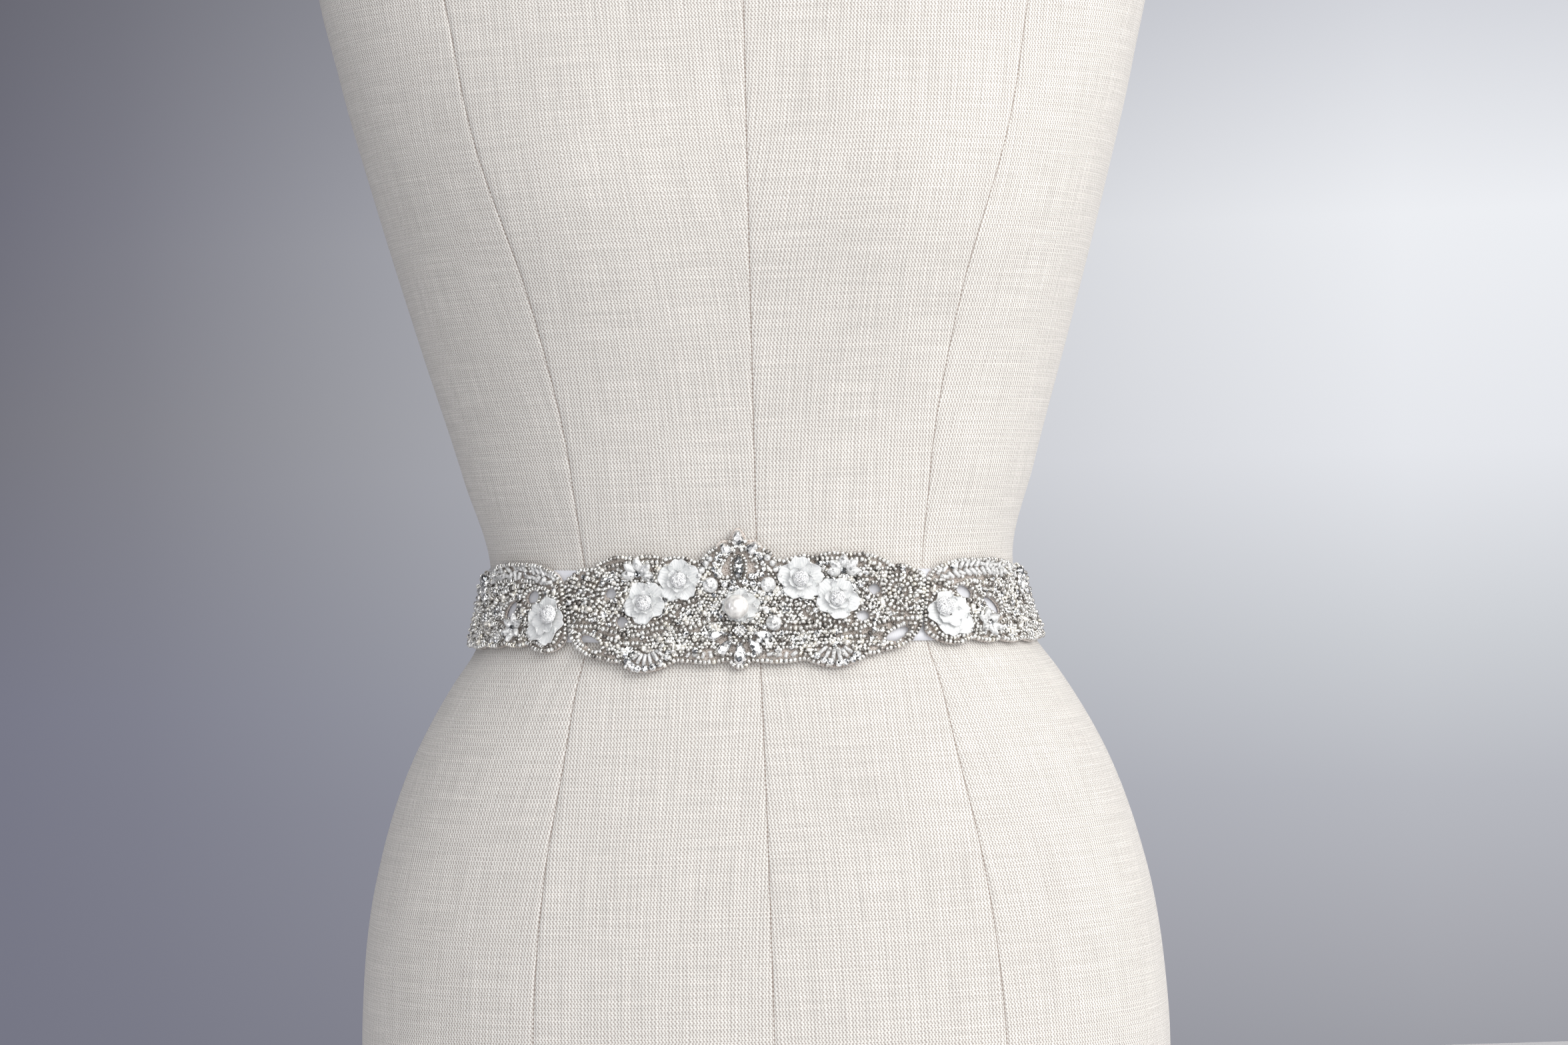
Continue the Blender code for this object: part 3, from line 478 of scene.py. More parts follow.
def satinMaterial(name, colour):
    # Polyester satin: long floats lie across the ribbon, so it has a soft directional shine
    material, tree, shader = startMaterial(name, colour, {
        "Roughness": 0.34, "Specular IOR Level": 0.55, "Sheen Weight": 0.35,
        "Sheen Roughness": 0.35, "Anisotropic": 0.5, "Subsurface Weight": 0.08,
        "Subsurface Radius": (0.001, 0.001, 0.0012)})
    uv = addNode(tree, "UVMap", uv_map="clothUv").outputs["UV"]
    stretched = addNode(tree, "Mapping", {"Scale": (1900, 60, 1)}, {"Vector": uv})
    floats = addNode(tree, "TexNoise", {"Scale": 1.0, "Detail": 2.0},
                     {"Vector": stretched.outputs[0]})
    soft = addNode(tree, "TexNoise", {"Scale": 55.0, "Detail": 2.0}, {"Vector": uv})
    height = addNode(tree, "Math", {1: 3.0}, {0: soft.outputs["Fac"], 2: floats.outputs["Fac"]},
                     operation="MULTIPLY_ADD")
    bump = addNode(tree, "Bump", {"Strength": 0.35, "Distance": 0.0003},
                   {"Height": height.outputs[0]})
    tree.links.new(bump.outputs[0], shader.inputs["Normal"])
    return material


def buildRibbon():
    # a closed thin wall: one flat oval section, with selvedges, carried round the waist; its soft
    # waves are one sine along the ribbon times another one across it
    size = ribbonSizes
    shift = sashSizes["shift"] / mm
    first, last = -girth / mm / 2 - shift, girth / mm / 2 + size["lap"] - shift
    along = np.linspace(first, last, int((last - first) / size["step"]))
    ease = np.clip((along - (last - size["lap"] - size["ramp"])) / size["ramp"], 0, 1)
    lift = ease * ease * (3 - 2 * ease) * (size["thickness"] + size["lapGap"])
    up = np.linspace(-0.5, 0.5, size["rows"]) * size["width"]
    edge = 1 - np.exp(-((size["width"] / 2 - np.abs(up)) / size["selvedge"]))
    drape = size["drape"] * np.sin(along / 11.0)[:, None] * np.sin(up / 5.0 + 0.6)[None] + 0.05
    inner = size["offset"] + lift[:, None] + drape + 0.1 + 0 * up
    outer = inner + (size["thickness"] - 0.35) * (0.35 + 0.65 * edge)[None]
    spread = np.hstack([np.broadcast_to(up, inner.shape), np.broadcast_to(up[::-1], inner.shape)])
    out = np.hstack([inner, outer[:, ::-1]])
    run = np.broadcast_to(along[:, None], out.shape)
    points = laid(run, size["raise"] + spread, out, uneven=False)
    around = out.shape[1]
    faces = gridFaces(len(along), around, closeColumns=True)
    last = (len(along) - 1) * around
    ends = [np.arange(around)[None, ::-1], (last + np.arange(around))[None]]
    uv = np.stack([run, spread], axis=-1).reshape(-1, 2) * mm
    piece = meshPiece("satinRibbon", points, [faces, *ends], satinMaterial("whiteSatin", "#d3d4da"),
                      uv=uv)
    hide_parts("satin_ribbon")

    # the hem stitches at the lapped end, each a short thread lying on the ribbon
    rise = np.linspace(-0.43, 0.43, size["hemStitches"]) * size["width"]
    place = np.full_like(rise, along[-1] - size["hemInset"])
    centre, frames = laidFrames(place, size["raise"] + rise,
                                size["offset"] + 2 * size["thickness"] + size["lapGap"])
    points, faces = turnedShape([(0.12, -0.75), (0.17, -0.55), (0.17, 0.55), (0.12, 0.75)], 6)
    points, faces = stamped(points, faces, centre, frames[:, [2, 0, 1]], np.full(len(rise), 1.0))
    meshPiece("ribbonStitches", points, faces, threadMaterial())


def threadMaterial():  # polyester sewing thread, a little glossy, with the twist of its plies painted as paler and darker bands, as the shade between the plies
    material, tree, shader = startMaterial("sewingThread", "#e4e4ea", {
        "Roughness": 0.45, "Sheen Weight": 0.3})
    place = addNode(tree, "TexCoord").outputs["Object"]
    twist = addNode(tree, "TexWave", {"Scale": 900.0, "Distortion": 1.0}, {"Vector": place},
                    bands_direction="DIAGONAL")
    # painted shade between the plies: the bands run paler and darker
    ramp = addNode(tree, "ValToRGB", links={"Fac": twist.outputs["Fac"]})
    fillRamp(ramp.color_ramp, [(0.2, "#cfcfd6"), (0.7, "#efeff4")])
    tree.links.new(ramp.outputs["Color"], shader.inputs["Base Color"])
    return material


# Shapes that are repeated

def turnedShape(profile, sides, closed=False, start=0.0):
    # rows of radius and height carried round the z axis; open ends are closed with flat caps
    radius, height = np.array(profile, float).T[:, :, None]
    turn = np.linspace(0, 2 * math.pi, sides, endpoint=False)[None] + start
    points = np.stack([radius * np.cos(turn), radius * np.sin(turn), height + 0 * turn], axis=-1)
    faces = [gridFaces(len(profile), sides, closeRows=closed, closeColumns=True)]
    if not closed:
        last = (len(profile) - 1) * sides
        faces += [np.arange(sides)[None, ::-1], last + np.arange(sides)[None]]
    return points.reshape(-1, 3), faces


def stamped(shape, shapeFaces, centres, frames, sizes):
    # a copy at each centre: size times the shape's x, y and z along the frame's directions
    sizes = np.asarray(sizes, float)
    scaled = shape[None] * (sizes[:, None, None] if sizes.ndim == 1 else sizes[:, None]) * mm
    points = centres[:, None] + np.einsum("nvk,nkc->nvc", scaled, frames)
    shift = (np.arange(len(centres)) * len(shape))[:, None, None]
    faces = [(f[None] + shift).reshape(-1, f.shape[1]) for f in shapeFaces]
    return points.reshape(-1, 3), faces


def joined(parts):  # sets of points, faces and face slots as one set
    points, faces, slots, shift = [], [], [], 0
    for somePoints, someFaces, someSlots in parts:
        points.append(somePoints.reshape(-1, 3))
        for face, slot in zip(someFaces, someSlots):
            faces.append(face + shift)
            slots.append(np.full(len(face), slot))
        shift += len(points[-1])
    return np.vstack(points), faces, np.concatenate(slots)


# radius and height rows, in shares of the bead's radius; the fifth row is the hole
seedBead = turnedShape([(1.0, 0.30), (0.76, 0.74), (0.34, 0.0), (0.76, -0.74), (1.0, -0.30)], 7,
                       closed=True)
bugleBead = turnedShape([(0.55, -1.0), (1.0, -0.93), (1.0, 0.93), (0.55, 1.0)], 6)


def chaton():  # a round stone in a cup: cup, girdle, two rings of facets and a table
    sides = 8
    step = math.pi / sides
    turn = np.linspace(0, 2 * math.pi, sides, endpoint=False)
    rings = []
    for radius, height, shift in ((0.80, -0.55, 0), (1.06, 0.0, 0), (1.0, 0.10, 0),
                                  (0.82, 0.42, step), (0.50, 0.62, 0)):
        rings.append(np.stack([radius * np.cos(turn + shift), radius * np.sin(turn + shift),
                               np.full(sides, height)], axis=1))
    points = np.vstack(rings)
    now, then = np.arange(sides), (np.arange(sides) + 1) % sides
    faces = [gridFaces(3, sides, closeColumns=True), now[None, ::-1]]
    faces.append(np.stack([16 + now, 16 + then, 24 + now], axis=1))
    faces.append(np.stack([16 + then, 24 + then, 24 + now], axis=1))
    faces.append(np.stack([24 + now, 32 + then, 32 + now], axis=1))
    faces.append(np.stack([24 + now, 24 + then, 32 + then], axis=1))
    faces.append(32 + now[None])
    return points, faces


# Glass, crystal and net

def facet(tree, shader, cell, lean, stops=None):
    # flat cells, each tilted in its own way and, if stops are given, painted paler or darker as its
    # own reflection; cell is how wide they are, in millimetres
    place = addNode(tree, "TexCoord").outputs["Object"]
    cells = addNode(tree, "TexVoronoi", {"Scale": 1 / (cell * mm)}, {"Vector": place})
    shift = addNode(tree, "VectorMath", {1: (-0.5, -0.5, -0.5)}, {0: cells.outputs["Color"]},
                    operation="ADD")
    tilt = addNode(tree, "VectorMath", {"Scale": lean}, {0: shift.outputs[0]}, operation="SCALE")
    flat = addNode(tree, "NewGeometry").outputs["Normal"]
    both = addNode(tree, "VectorMath", links={0: flat, 1: tilt.outputs[0]}, operation="ADD")
    normal = addNode(tree, "VectorMath", links={0: both.outputs[0]}, operation="NORMALIZE")
    tree.links.new(normal.outputs[0], shader.inputs["Normal"])
    # painted reflections: each cell gets a tone of its own from the stops
    if stops:
        share = addNode(tree, "SeparateXYZ", links={0: cells.outputs["Color"]})
        ramp = addNode(tree, "ValToRGB", links={"Fac": share.outputs["X"]})
        fillRamp(ramp.color_ramp, stops)
        tree.links.new(ramp.outputs["Color"], shader.inputs["Base Color"])


# material, colour, values, facet width in mm, how far the facets lean, and the tones painted on the
# facets as reflections
cutGlass = {
    # Silver-lined glass seed beads: mirror silver in the hole, seen through clear or smoky glass,
    # so each bead has a tone of its own
    "seed": ("silverLinedGlass", "#c9c7c3", {
        "Metallic": 0.8, "Roughness": 0.13, "Coat Weight": 1.0, "Coat Roughness": 0.03},
        0.62, 0.55, None),
    # Foiled rhinestone: hard facets over a mirror back, with painted reflections that make some of
    # them bright and a few dark
    "stone": ("foiledRhinestone", "#f1f3f6", {
        "Metallic": 0.95, "Roughness": 0.04, "Coat Weight": 0.5, "Coat Roughness": 0.0},
        0.8, 0.75, [(0.0, "#3d3f43"), (0.2, "#8e9195"), (0.36, "#e2e3e4"), (0.7, "#fbfbfa"),
                    (1.0, "#ffffff")]),
    # The long stones and the crown's: the same foil under wider facets, with the same kind of
    # painted reflections
    "crystal": ("cutCrystal", "#f4f5f7", {
        "Metallic": 0.9, "Roughness": 0.04, "Coat Weight": 0.5, "Coat Roughness": 0.0},
        1.5, 0.6, [(0.0, "#55575b"), (0.2, "#b4b6b8"), (0.38, "#f0f0f0"), (1.0, "#ffffff")]),
    # Tiny cut beads of the flowers' middles: pale grey, with painted glints on their facets
    "crumb": ("cutGlassCrumbs", "#d9dadc", {
        "Metallic": 0.55, "Roughness": 0.16, "Coat Weight": 1.0, "Coat Roughness": 0.05},
        0.5, 0.25, [(0.0, "#a9aaac"), (0.3, "#d5d6d8"), (0.7, "#f3f4f5"), (1.0, "#ffffff")]),
    # Smoky rhinestone: hard facets over a darker foil, so most of them are grey; painted
    # reflections make some near black and a few white
    "smoke": ("smokyRhinestone", "#5f6468", {
        "Metallic": 0.95, "Roughness": 0.05, "Coat Weight": 1.0, "Coat Roughness": 0.0},
        1.1, 0.9, [(0.0, "#17181a"), (0.4, "#44474b"), (0.68, "#9a9ea3"), (0.9, "#f4f5f7")]),
    # Clear pressed glass with a milky body, so that what lies behind it only glimmers; its facets
    # are painted paler and darker as reflections
    "clear": ("clearPressedGlass", "#eef0f0", {
        "Roughness": 0.05, "Metallic": 0.25, "IOR": 1.52, "Transmission Weight": 0.40,
        "Coat Weight": 1.0, "Coat Roughness": 0.02},
        1.1, 0.60, [(0.0, "#a5a6a6"), (0.2, "#dfe0e0"), (0.5, "#f8f9f9"), (1.0, "#ffffff")]),
    # Champagne cut-glass beads, clear with a warm lining, their facets painted paler and darker as
    # reflections
    "champagne": ("champagneGlass", "#e9e3d4", {
        "Metallic": 0.35, "Roughness": 0.07, "IOR": 1.52, "Coat Weight": 1.0},
        0.9, 0.55, [(0.0, "#8a847a"), (0.3, "#cdc9c0"), (0.65, "#efece5"), (1.0, "#ffffff")]),
    # Clear bugle glass of the leaves and fans, broken up by many small glints, from tilted facets
    # and painted on them as paler and darker cells
    "bugle": ("clearBugleGlass", "#eef0f1", {
        "Roughness": 0.10, "IOR": 1.52, "Transmission Weight": 0.35, "Coat Weight": 0.8},
        0.7, 0.36, [(0.0, "#b3b2af"), (0.3, "#e2e3e3"), (0.7, "#fafafa"), (1.0, "#ffffff")]),
}


def glassMaterials():
    made = {}
    for use, (name, colour, sockets, cell, lean, stops) in cutGlass.items():
        material, tree, shader = startMaterial(name, colour, sockets)
        if use == "seed":
            tone = addNode(tree, "Attribute", attribute_name="tone")
            ramp = addNode(tree, "ValToRGB", links={"Fac": tone.outputs["Fac"]})
            fillRamp(ramp.color_ramp, [(0.0, "#4b4643"), (0.14, "#9f9a95"), (0.45, "#d3d1cd"),
                                       (0.8, "#fafaf8"), (1.0, "#f4eee0")])
            tree.links.new(ramp.outputs["Color"], shader.inputs["Base Color"])
        facet(tree, shader, cell, lean, stops)
        made[use] = material
    made["cup"] = cupMaterial()
    made["pearl"] = pearlMaterial()
    return made


def cupMaterial():
    # Rhodium plated brass of the cups and prongs, dulled unevenly by handling
    material, tree, shader = startMaterial("rhodiumPlatedBrass", "#b9b7b4", {"Metallic": 1.0})
    place = addNode(tree, "TexCoord").outputs["Object"]
    dull = addNode(tree, "TexNoise", {"Scale": 1500.0, "Detail": 2.0}, {"Vector": place})
    worn = addNode(tree, "MapRange", {1: 0.3, 2: 0.7, 3: 0.14, 4: 0.34}, {0: dull.outputs["Fac"]})
    tree.links.new(worn.outputs[0], shader.inputs["Roughness"])
    ramp = addNode(tree, "ValToRGB", links={"Fac": dull.outputs["Fac"]})
    fillRamp(ramp.color_ramp, [(0.3, "#9c9995"), (0.7, "#d0cecb")])
    tree.links.new(ramp.outputs["Color"], shader.inputs["Base Color"])
    return material


def pearlMaterial():
    # Glass pearl: many thin lacquer layers, so a soft shine under a hard clear coat
    material, tree, shader = startMaterial("glassPearl", "#e2dcd8", {
        "Metallic": 0.35, "Roughness": 0.22, "Coat Weight": 1.0, "Coat Roughness": 0.03,
        "Sheen Weight": 0.2})
    place = addNode(tree, "TexCoord").outputs["Object"]
    lustre = addNode(tree, "TexNoise", {"Scale": 420.0, "Detail": 3.0}, {"Vector": place})
    ramp = addNode(tree, "ValToRGB", links={"Fac": lustre.outputs["Fac"]})
    fillRamp(ramp.color_ramp, [(0.32, "#c6c3c1"), (0.5, "#e4e2df"), (0.66, "#f7f6f3")])
    tree.links.new(ramp.outputs["Color"], shader.inputs["Base Color"])
    bump = addNode(tree, "Bump", {"Strength": 0.14, "Distance": 0.0002},
                   {"Height": lustre.outputs["Fac"]})
    tree.links.new(bump.outputs[0], shader.inputs["Normal"])
    return material


def netMaterial():
    # Nylon bead net in taupe, stiffened with size, which leaves it matt: pale threads round holes
    # of 0.9 mm that are painted dark, as the shade seen through them
    material, tree, shader = startMaterial("taupeBeadNet", "#94877f", {
        "Roughness": 0.7, "Sheen Weight": 0.2})
    uv = addNode(tree, "UVMap", uv_map="clothUv").outputs["UV"]
    cells = addNode(tree, "TexVoronoi", {"Scale": 1100.0}, {"Vector": uv},
                    feature="DISTANCE_TO_EDGE")
    # painted shade in the holes: pale at each cell's edge, dark towards its middle
    ramp = addNode(tree, "ValToRGB", links={"Fac": cells.outputs["Distance"]})
    fillRamp(ramp.color_ramp, [(0.0, "#e2dbd5"), (0.14, "#b5a9a1"), (0.34, "#84766d")])
    tree.links.new(ramp.outputs["Color"], shader.inputs["Base Color"])
    return material


def organzaMaterial():
    # Silk organza, cut and heat curled: crisp and white, with crushed creases along each petal,
    # whose low places are painted grey as shade
    material, tree, shader = startMaterial("whiteOrganza", "#f7f8f9", {
        "Roughness": 0.6, "Sheen Weight": 0.35, "Sheen Roughness": 0.4,
        "Subsurface Weight": 0.12, "Subsurface Radius": (0.001, 0.001, 0.0011),
        "Subsurface Scale": 1.0})
    uv = addNode(tree, "UVMap", uv_map="clothUv").outputs["UV"]
    drawn = addNode(tree, "Mapping", {"Scale": (260, 1500, 1)}, {"Vector": uv})
    creases = addNode(tree, "TexNoise", {"Scale": 1.0, "Detail": 5.0, "Roughness": 0.7},
                      {"Vector": drawn.outputs[0]})
    bump = addNode(tree, "Bump", {"Strength": 0.28, "Distance": 0.0003},
                   {"Height": creases.outputs["Fac"]})
    tree.links.new(bump.outputs[0], shader.inputs["Normal"])
    # painted shade: the creases' low places are greyer
    ramp = addNode(tree, "ValToRGB", links={"Fac": creases.outputs["Fac"]})
    fillRamp(ramp.color_ramp, [(0.3, "#bcbfc1"), (0.45, "#d4d6d7"), (0.58, "#e2e3e3"),
                               (0.75, "#ececeb")])
    tree.links.new(ramp.outputs["Color"], shader.inputs["Base Color"])
    return material


# Where the beadwork goes, in millimetres on the flat pattern

# right half of the front applique: along, up, bulge of the arc to the next point
frontTop = [(0.0, 37.0, 1.0), (3.8, 31.4, 1.4), (10.8, 28.4, 1.0), (17.0, 22.4, 0.6),
            (20.0, 22.2, 1.6), (34.0, 24.2, 1.4), (49.0, 24.8, 1.2), (63.5, 22.8, 0.8),
            (69.0, 19.2, 1.6), (80.5, 17.0, 1.4), (84.4, 11.5, 0.0)]
frontBottom = [(79.2, -8.0, 3.0), (58.5, -19.4, 0.6), (52.5, -20.6, 4.4), (27.0, -22.2, 1.2),
               (5.0, -22.6, 0.3), (3.6, -23.6, 0.8), (0.0, -26.0, 0.0)]
sideTop = [(85.3, 12.0, 0.6), (90.0, 18.0, 1.6), (113.0, 22.2, 1.8), (146.0, 18.0, 1.6),
           (155.0, 17.2, 1.0), (172.0, 16.0, 2.6), (189.0, 1.0, 0.0)]
sideBottom = [(189.0, 1.0, 2.6), (175.0, -14.8, 1.2), (152.0, -15.8, 1.4), (134.0, -15.8, 1.4),
              (117.5, -15.2, 1.6), (102.0, -14.2, 3.0), (82.5, -13.6, 0.8), (80.3, -7.8, 0.0)]
# gaps cut through: along, up, half length, half height, turn in degrees
frontGaps = [(60.5, 8.6, 2.9, 2.4, 0), (53.8, -3.4, 3.0, 2.3, 20), (67.6, -12.0, 6.4, 2.1, 27)]
sideGaps = [(104.5, 6.8, 4.8, 3.0, -12), (119.5, 0.6, 5.8, 3.3, -35), (150.0, 1.5, 3.8, 2.9, 0)]
# flowers: along, up, radius, petals, turn in degrees
clothFlowers = {"cloth_flower_1": (27.5, 14.0, 8.6, 5, 90),
                "cloth_flower_2": (43.0, 4.6, 8.6, 5, 60),
                "cloth_flower_side": (93.0, -3.6, 10.0, 5, 100)}
crystalFlowers = {"crystal_flower_front": (46.8, 17.2, 7.8, 5, 90),
                  "crystal_flower_side": (113.6, -8.0, 6.7, 6, 90)}
pearlCup = (0.6, 1.8, 8.0, 6, 60)  # the petals under the pearl
# the balls in the flowers: radius, rise, seat, and how far from the flower's middle
flowerBalls = {"cloth_flower_1": (3.5, 3.6, 2.25, 0.0, 0.0),
               "cloth_flower_2": (3.5, 3.6, 2.25, 0.0, 0.0),
               "cloth_flower_side": (4.3, 4.2, 2.35, -3.0, 3.2)}
pearlSizes = {"shift": (-1.8, -0.8), "lift": 6.4, "radius": 5.4, "flatten": 0.9}
# stones: along, up, half width, half length, turn in degrees, rise
stones = {
    "crown_tip_stone": (0.0, 32.6, 2.5, 3.5, 0, 3.6),
    "crown_stone_right": (6.5, 28.0, 2.5, 3.2, -38, 3.4),
    "crown_stone_left": (-5.8, 27.6, 2.5, 3.2, 38, 3.4),
    "crown_marquise": (0.0, 19.2, 2.4, 5.6, 0, 4.2),
    "pave_stone": (0.0, -9.4, 2.9, 2.9, 45, 4.4),
    "drop_bottom": (0.0, -19.4, 2.7, 5.3, 0, 3.8),
    "drop_lower_right": (6.3, -16.6, 2.4, 4.8, 40, 3.6),
    "drop_lower_left": (-6.3, -16.6, 2.4, 4.8, -40, 3.6),
    "drop_upper_right": (9.9, -11.4, 2.1, 4.5, 77, 3.6),
    "drop_upper_left": (-9.9, -11.4, 2.1, 4.5, -77, 3.6),
    "clear_disc_right": (13.2, 11.4, 3.5, 3.5, 0, 2.8),
    "clear_disc_left": (-13.2, 11.4, 3.5, 3.5, 0, 2.8),
    "clear_bead": (14.8, -6.0, 3.6, 3.6, 0, 4.0),
    "side_stone_right": (149.5, 15.4, 2.4, 2.4, 0, 3.6),
    "side_stone_left": (-149.5, 15.4, 2.4, 2.4, 0, 3.6),
    "side_bead_right": (150.0, 9.0, 2.6, 2.6, 0, 3.4),
    "side_bead_left": (-150.0, 9.0, 2.6, 2.6, 0, 3.4),
}


def arcLine(rows):  # a run of shallow arcs through the rows of an outline table
    runs = []
    for (x0, y0, bulge), (x1, y1, _) in zip(rows, rows[1:]):
        chord = np.array([x1 - x0, y1 - y0])
        t = np.linspace(0, 1, 24, endpoint=False)
        left = np.array([-chord[1], chord[0]]) / np.hypot(*chord)
        bow = np.outer(4 * bulge * t * (1 - t), left)
        runs.append(np.array([x0, y0]) + np.outer(t, chord) + bow)
    return np.vstack([*runs, rows[-1][:2]])


def mirrored(line):
    return np.asarray(line) * np.array([-1, 1])


def oval(row, grown=0.0, count=48):  # a leaning oval's outline, grown all round if asked
    along, up, halfLength, halfHeight, angle = row
    t = np.linspace(0, 2 * math.pi, count)
    x, y = (halfLength + grown) * np.cos(t), (halfHeight + grown) * np.sin(t)
    c, s = math.cos(math.radians(angle)), math.sin(math.radians(angle))
    return np.stack([along + x * c - y * s, up + x * s + y * c], axis=1)


def coil(along, up, outer, inner, start, turns):  # a scroll that winds in
    t = np.linspace(0, 1, int(abs(turns) * 60))
    radius, angle = outer + (inner - outer) * t, math.radians(start) + 2 * math.pi * turns * t
    return np.stack([along + radius * np.cos(angle), up + radius * np.sin(angle)], axis=1)


def sweep(*corners):
    # a smooth line through the corners: a cubic between every two, as steep at each corner as the
    # straight line between its neighbours
    corners = np.array(corners, float)
    padded = np.vstack([2 * corners[0] - corners[1], corners, 2 * corners[-1] - corners[-2]])
    t = np.linspace(0, 1, 16, endpoint=False)[None, :, None]
    a, b, c, d = padded[:-3, None], padded[1:-2, None], padded[2:-1, None], padded[3:, None]
    line = 0.5 * (2 * b + (c - a) * t + (2 * a - 5 * b + 4 * c - d) * t**2
                  + (3 * b - a - 3 * c + d) * t**3)
    return np.vstack([line.reshape(-1, 2), corners[-1]])


def spaced(line, pitch):  # places at an even pitch along a line, and the line's angle there
    run = np.concatenate([[0], np.cumsum(np.linalg.norm(np.diff(line, axis=0), axis=1))])
    at = (np.arange(max(1, int(run[-1] / pitch))) + 0.5) * run[-1] / max(1, int(run[-1] / pitch))
    place = np.stack([np.interp(at, run, line[:, i]) for i in range(2)], axis=1)
    ahead = np.stack([np.interp(at + 0.3, run, line[:, i]) for i in range(2)], axis=1)
    behind = np.stack([np.interp(at - 0.3, run, line[:, i]) for i in range(2)], axis=1)
    way = ahead - behind
    return place, np.arctan2(way[:, 1], way[:, 0])


def insideLoop(points, loop):  # even-odd rule
    x, y = points[:, 0, None], points[:, 1, None]
    x0, y0 = loop[:, 0], loop[:, 1]
    x1, y1 = np.roll(x0, -1), np.roll(y0, -1)
    rises = (y0 > y) != (y1 > y)
    crossing = x0 + (y - y0) * (x1 - x0) / np.where(y1 == y0, 1e-12, y1 - y0)
    return (np.logical_and(rises, x < crossing).sum(axis=1) % 2).astype(bool)


def nearest(points, others):  # distance from each point to the nearest of the others
    return np.concatenate([np.sqrt(((part[:, None] - others[None]) ** 2).sum(axis=2)).min(axis=1)
                           for part in np.array_split(points, max(1, len(points) // 500))])


frontHalf = np.vstack([arcLine(frontTop), arcLine(frontBottom)])
frontLoop = np.vstack([frontHalf, mirrored(frontHalf)[::-1][1:-1]])
sideLoop = np.vstack([arcLine(sideTop), arcLine(sideBottom)[1:]])


# The net grounds of the appliques

groundSizes = {
    "frontTop": (-84.3, 84.3), "frontBottom": (-79.3, 79.3),  # how far along each edge reaches
    "sideTop": (85.3, 188.7), "sideBottom": (80.4, 188.7),
    "frontGrid": (190, 46), "sideGrid": (124, 36),  # points along and up
    "snap": 0.55,  # mm round a gap's edge within which points move onto it
}
glass = glassMaterials()
net = netMaterial()


def readLine(line, along):  # how far up a line is at places along it
    order = np.maximum.accumulate(line[:, 0]) + np.arange(len(line)) * 1e-6
    return np.interp(along, order, line[:, 1])


def buildGround(name, node, top, bottom, topSpan, bottomSpan, gaps, grid):
    # straight lines from the lower edge up to the upper one, with faces left out in the gaps
    columns, rows = grid
    share = np.linspace(0, 1, rows)[:, None]
    upper, lower = np.linspace(*topSpan, columns)[None], np.linspace(*bottomSpan, columns)[None]
    along = lower + (upper - lower) * share
    up = readLine(bottom, lower) + (readLine(top, upper) - readLine(bottom, lower)) * share
    flat = np.stack([along, up], axis=-1).reshape(-1, 2)
    faces = gridFaces(rows, columns)
    for gapAlong, gapUp, halfLength, halfHeight, turn in gaps:
        c, s = math.cos(math.radians(turn)), math.sin(math.radians(turn))
        x, y = flat[:, 0] - gapAlong, flat[:, 1] - gapUp
        x, y = (x * c + y * s) / halfLength, (y * c - x * s) / halfHeight
        reach = np.hypot(x, y)
        step = groundSizes["snap"] / min(halfLength, halfHeight)
        snapped = np.where(np.abs(reach - 1) < step, 1, reach) / np.maximum(reach, 1e-6)
        x, y = x * snapped * halfLength, y * snapped * halfHeight
        flat = np.stack([gapAlong + x * c - y * s, gapUp + x * s + y * c], axis=1)
        faces = faces[(reach[faces] > 1 + step).any(axis=1)]
    points = laid(flat[:, 0], flat[:, 1], sashSizes["groundOffset"])
    piece = meshPiece(name, points, [faces], net, uv=flat * mm)
    wall = piece.modifiers.new("thickness", "SOLIDIFY")
    wall.thickness, wall.offset = sashSizes["groundThickness"] * mm, 1.0
    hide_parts(node)


def buildGrounds():
    top, bottom = arcLine(frontTop), arcLine(frontBottom)[::-1]
    gaps = frontGaps + [(-a, u, x, y, -turn) for a, u, x, y, turn in frontGaps]
    buildGround("frontBeadNet", "front_applique", np.vstack([mirrored(top)[::-1], top[1:]]),
                np.vstack([mirrored(bottom)[::-1], bottom[1:]]), groundSizes["frontTop"],
                groundSizes["frontBottom"], gaps, groundSizes["frontGrid"])
    top, bottom = arcLine(sideTop), arcLine(sideBottom)[::-1]
    for side, sign in (("Left", -1), ("Right", 1)):
        lines = [top, bottom] if sign > 0 else [mirrored(top)[::-1], mirrored(bottom)[::-1]]
        spans = [groundSizes["sideTop"], groundSizes["sideBottom"]]
        if sign < 0:
            spans = [(-b, -a) for a, b in spans]
        gaps = [(sign * a, u, x, y, sign * turn) for a, u, x, y, turn in sideGaps]
        buildGround(f"side{side}BeadNet", f"side_applique_{side.lower()}", *lines, *spans, gaps,
                    groundSizes["sideGrid"])


# The strings and scatter of beads

beadSizes = {
    "rowPitch": 1.78,  # from bead to bead of a row, in bead radii
    "unevenRows": 0.12,  # how far a bead strays from its row
    "clear": 1.62,  # a row keeps this far from the beads that are there before it
    "fillStep": 1.80, "fillJitter": 0.34,
    "fillClear": 1.66,  # and scattered beads keep this far
    "topStep": 3.0, "topShare": 0.36,
    "stoneShare": 0.13, "clearShare": 0.08,
    "seed": 11,
}
random = np.random.default_rng(beadSizes["seed"])


def inset(loop, distance):  # a clockwise loop moved inwards
    way = np.roll(loop, -1, axis=0) - np.roll(loop, 1, axis=0)
    inward = np.stack([way[:, 1], -way[:, 0]], axis=1)
    return loop + inward / np.linalg.norm(inward, axis=1, keepdims=True) * distance


def closed(loop):
    return np.vstack([loop, loop[:1]])


def arc(middle, radius, start, end):  # part of a circle, between two angles in degrees
    t = np.radians(np.linspace(start, end, 40))
    return np.stack([middle[0] + radius * np.cos(t), middle[1] + radius * np.sin(t)], axis=1)


fanMiddle = (39.5, -13.8)
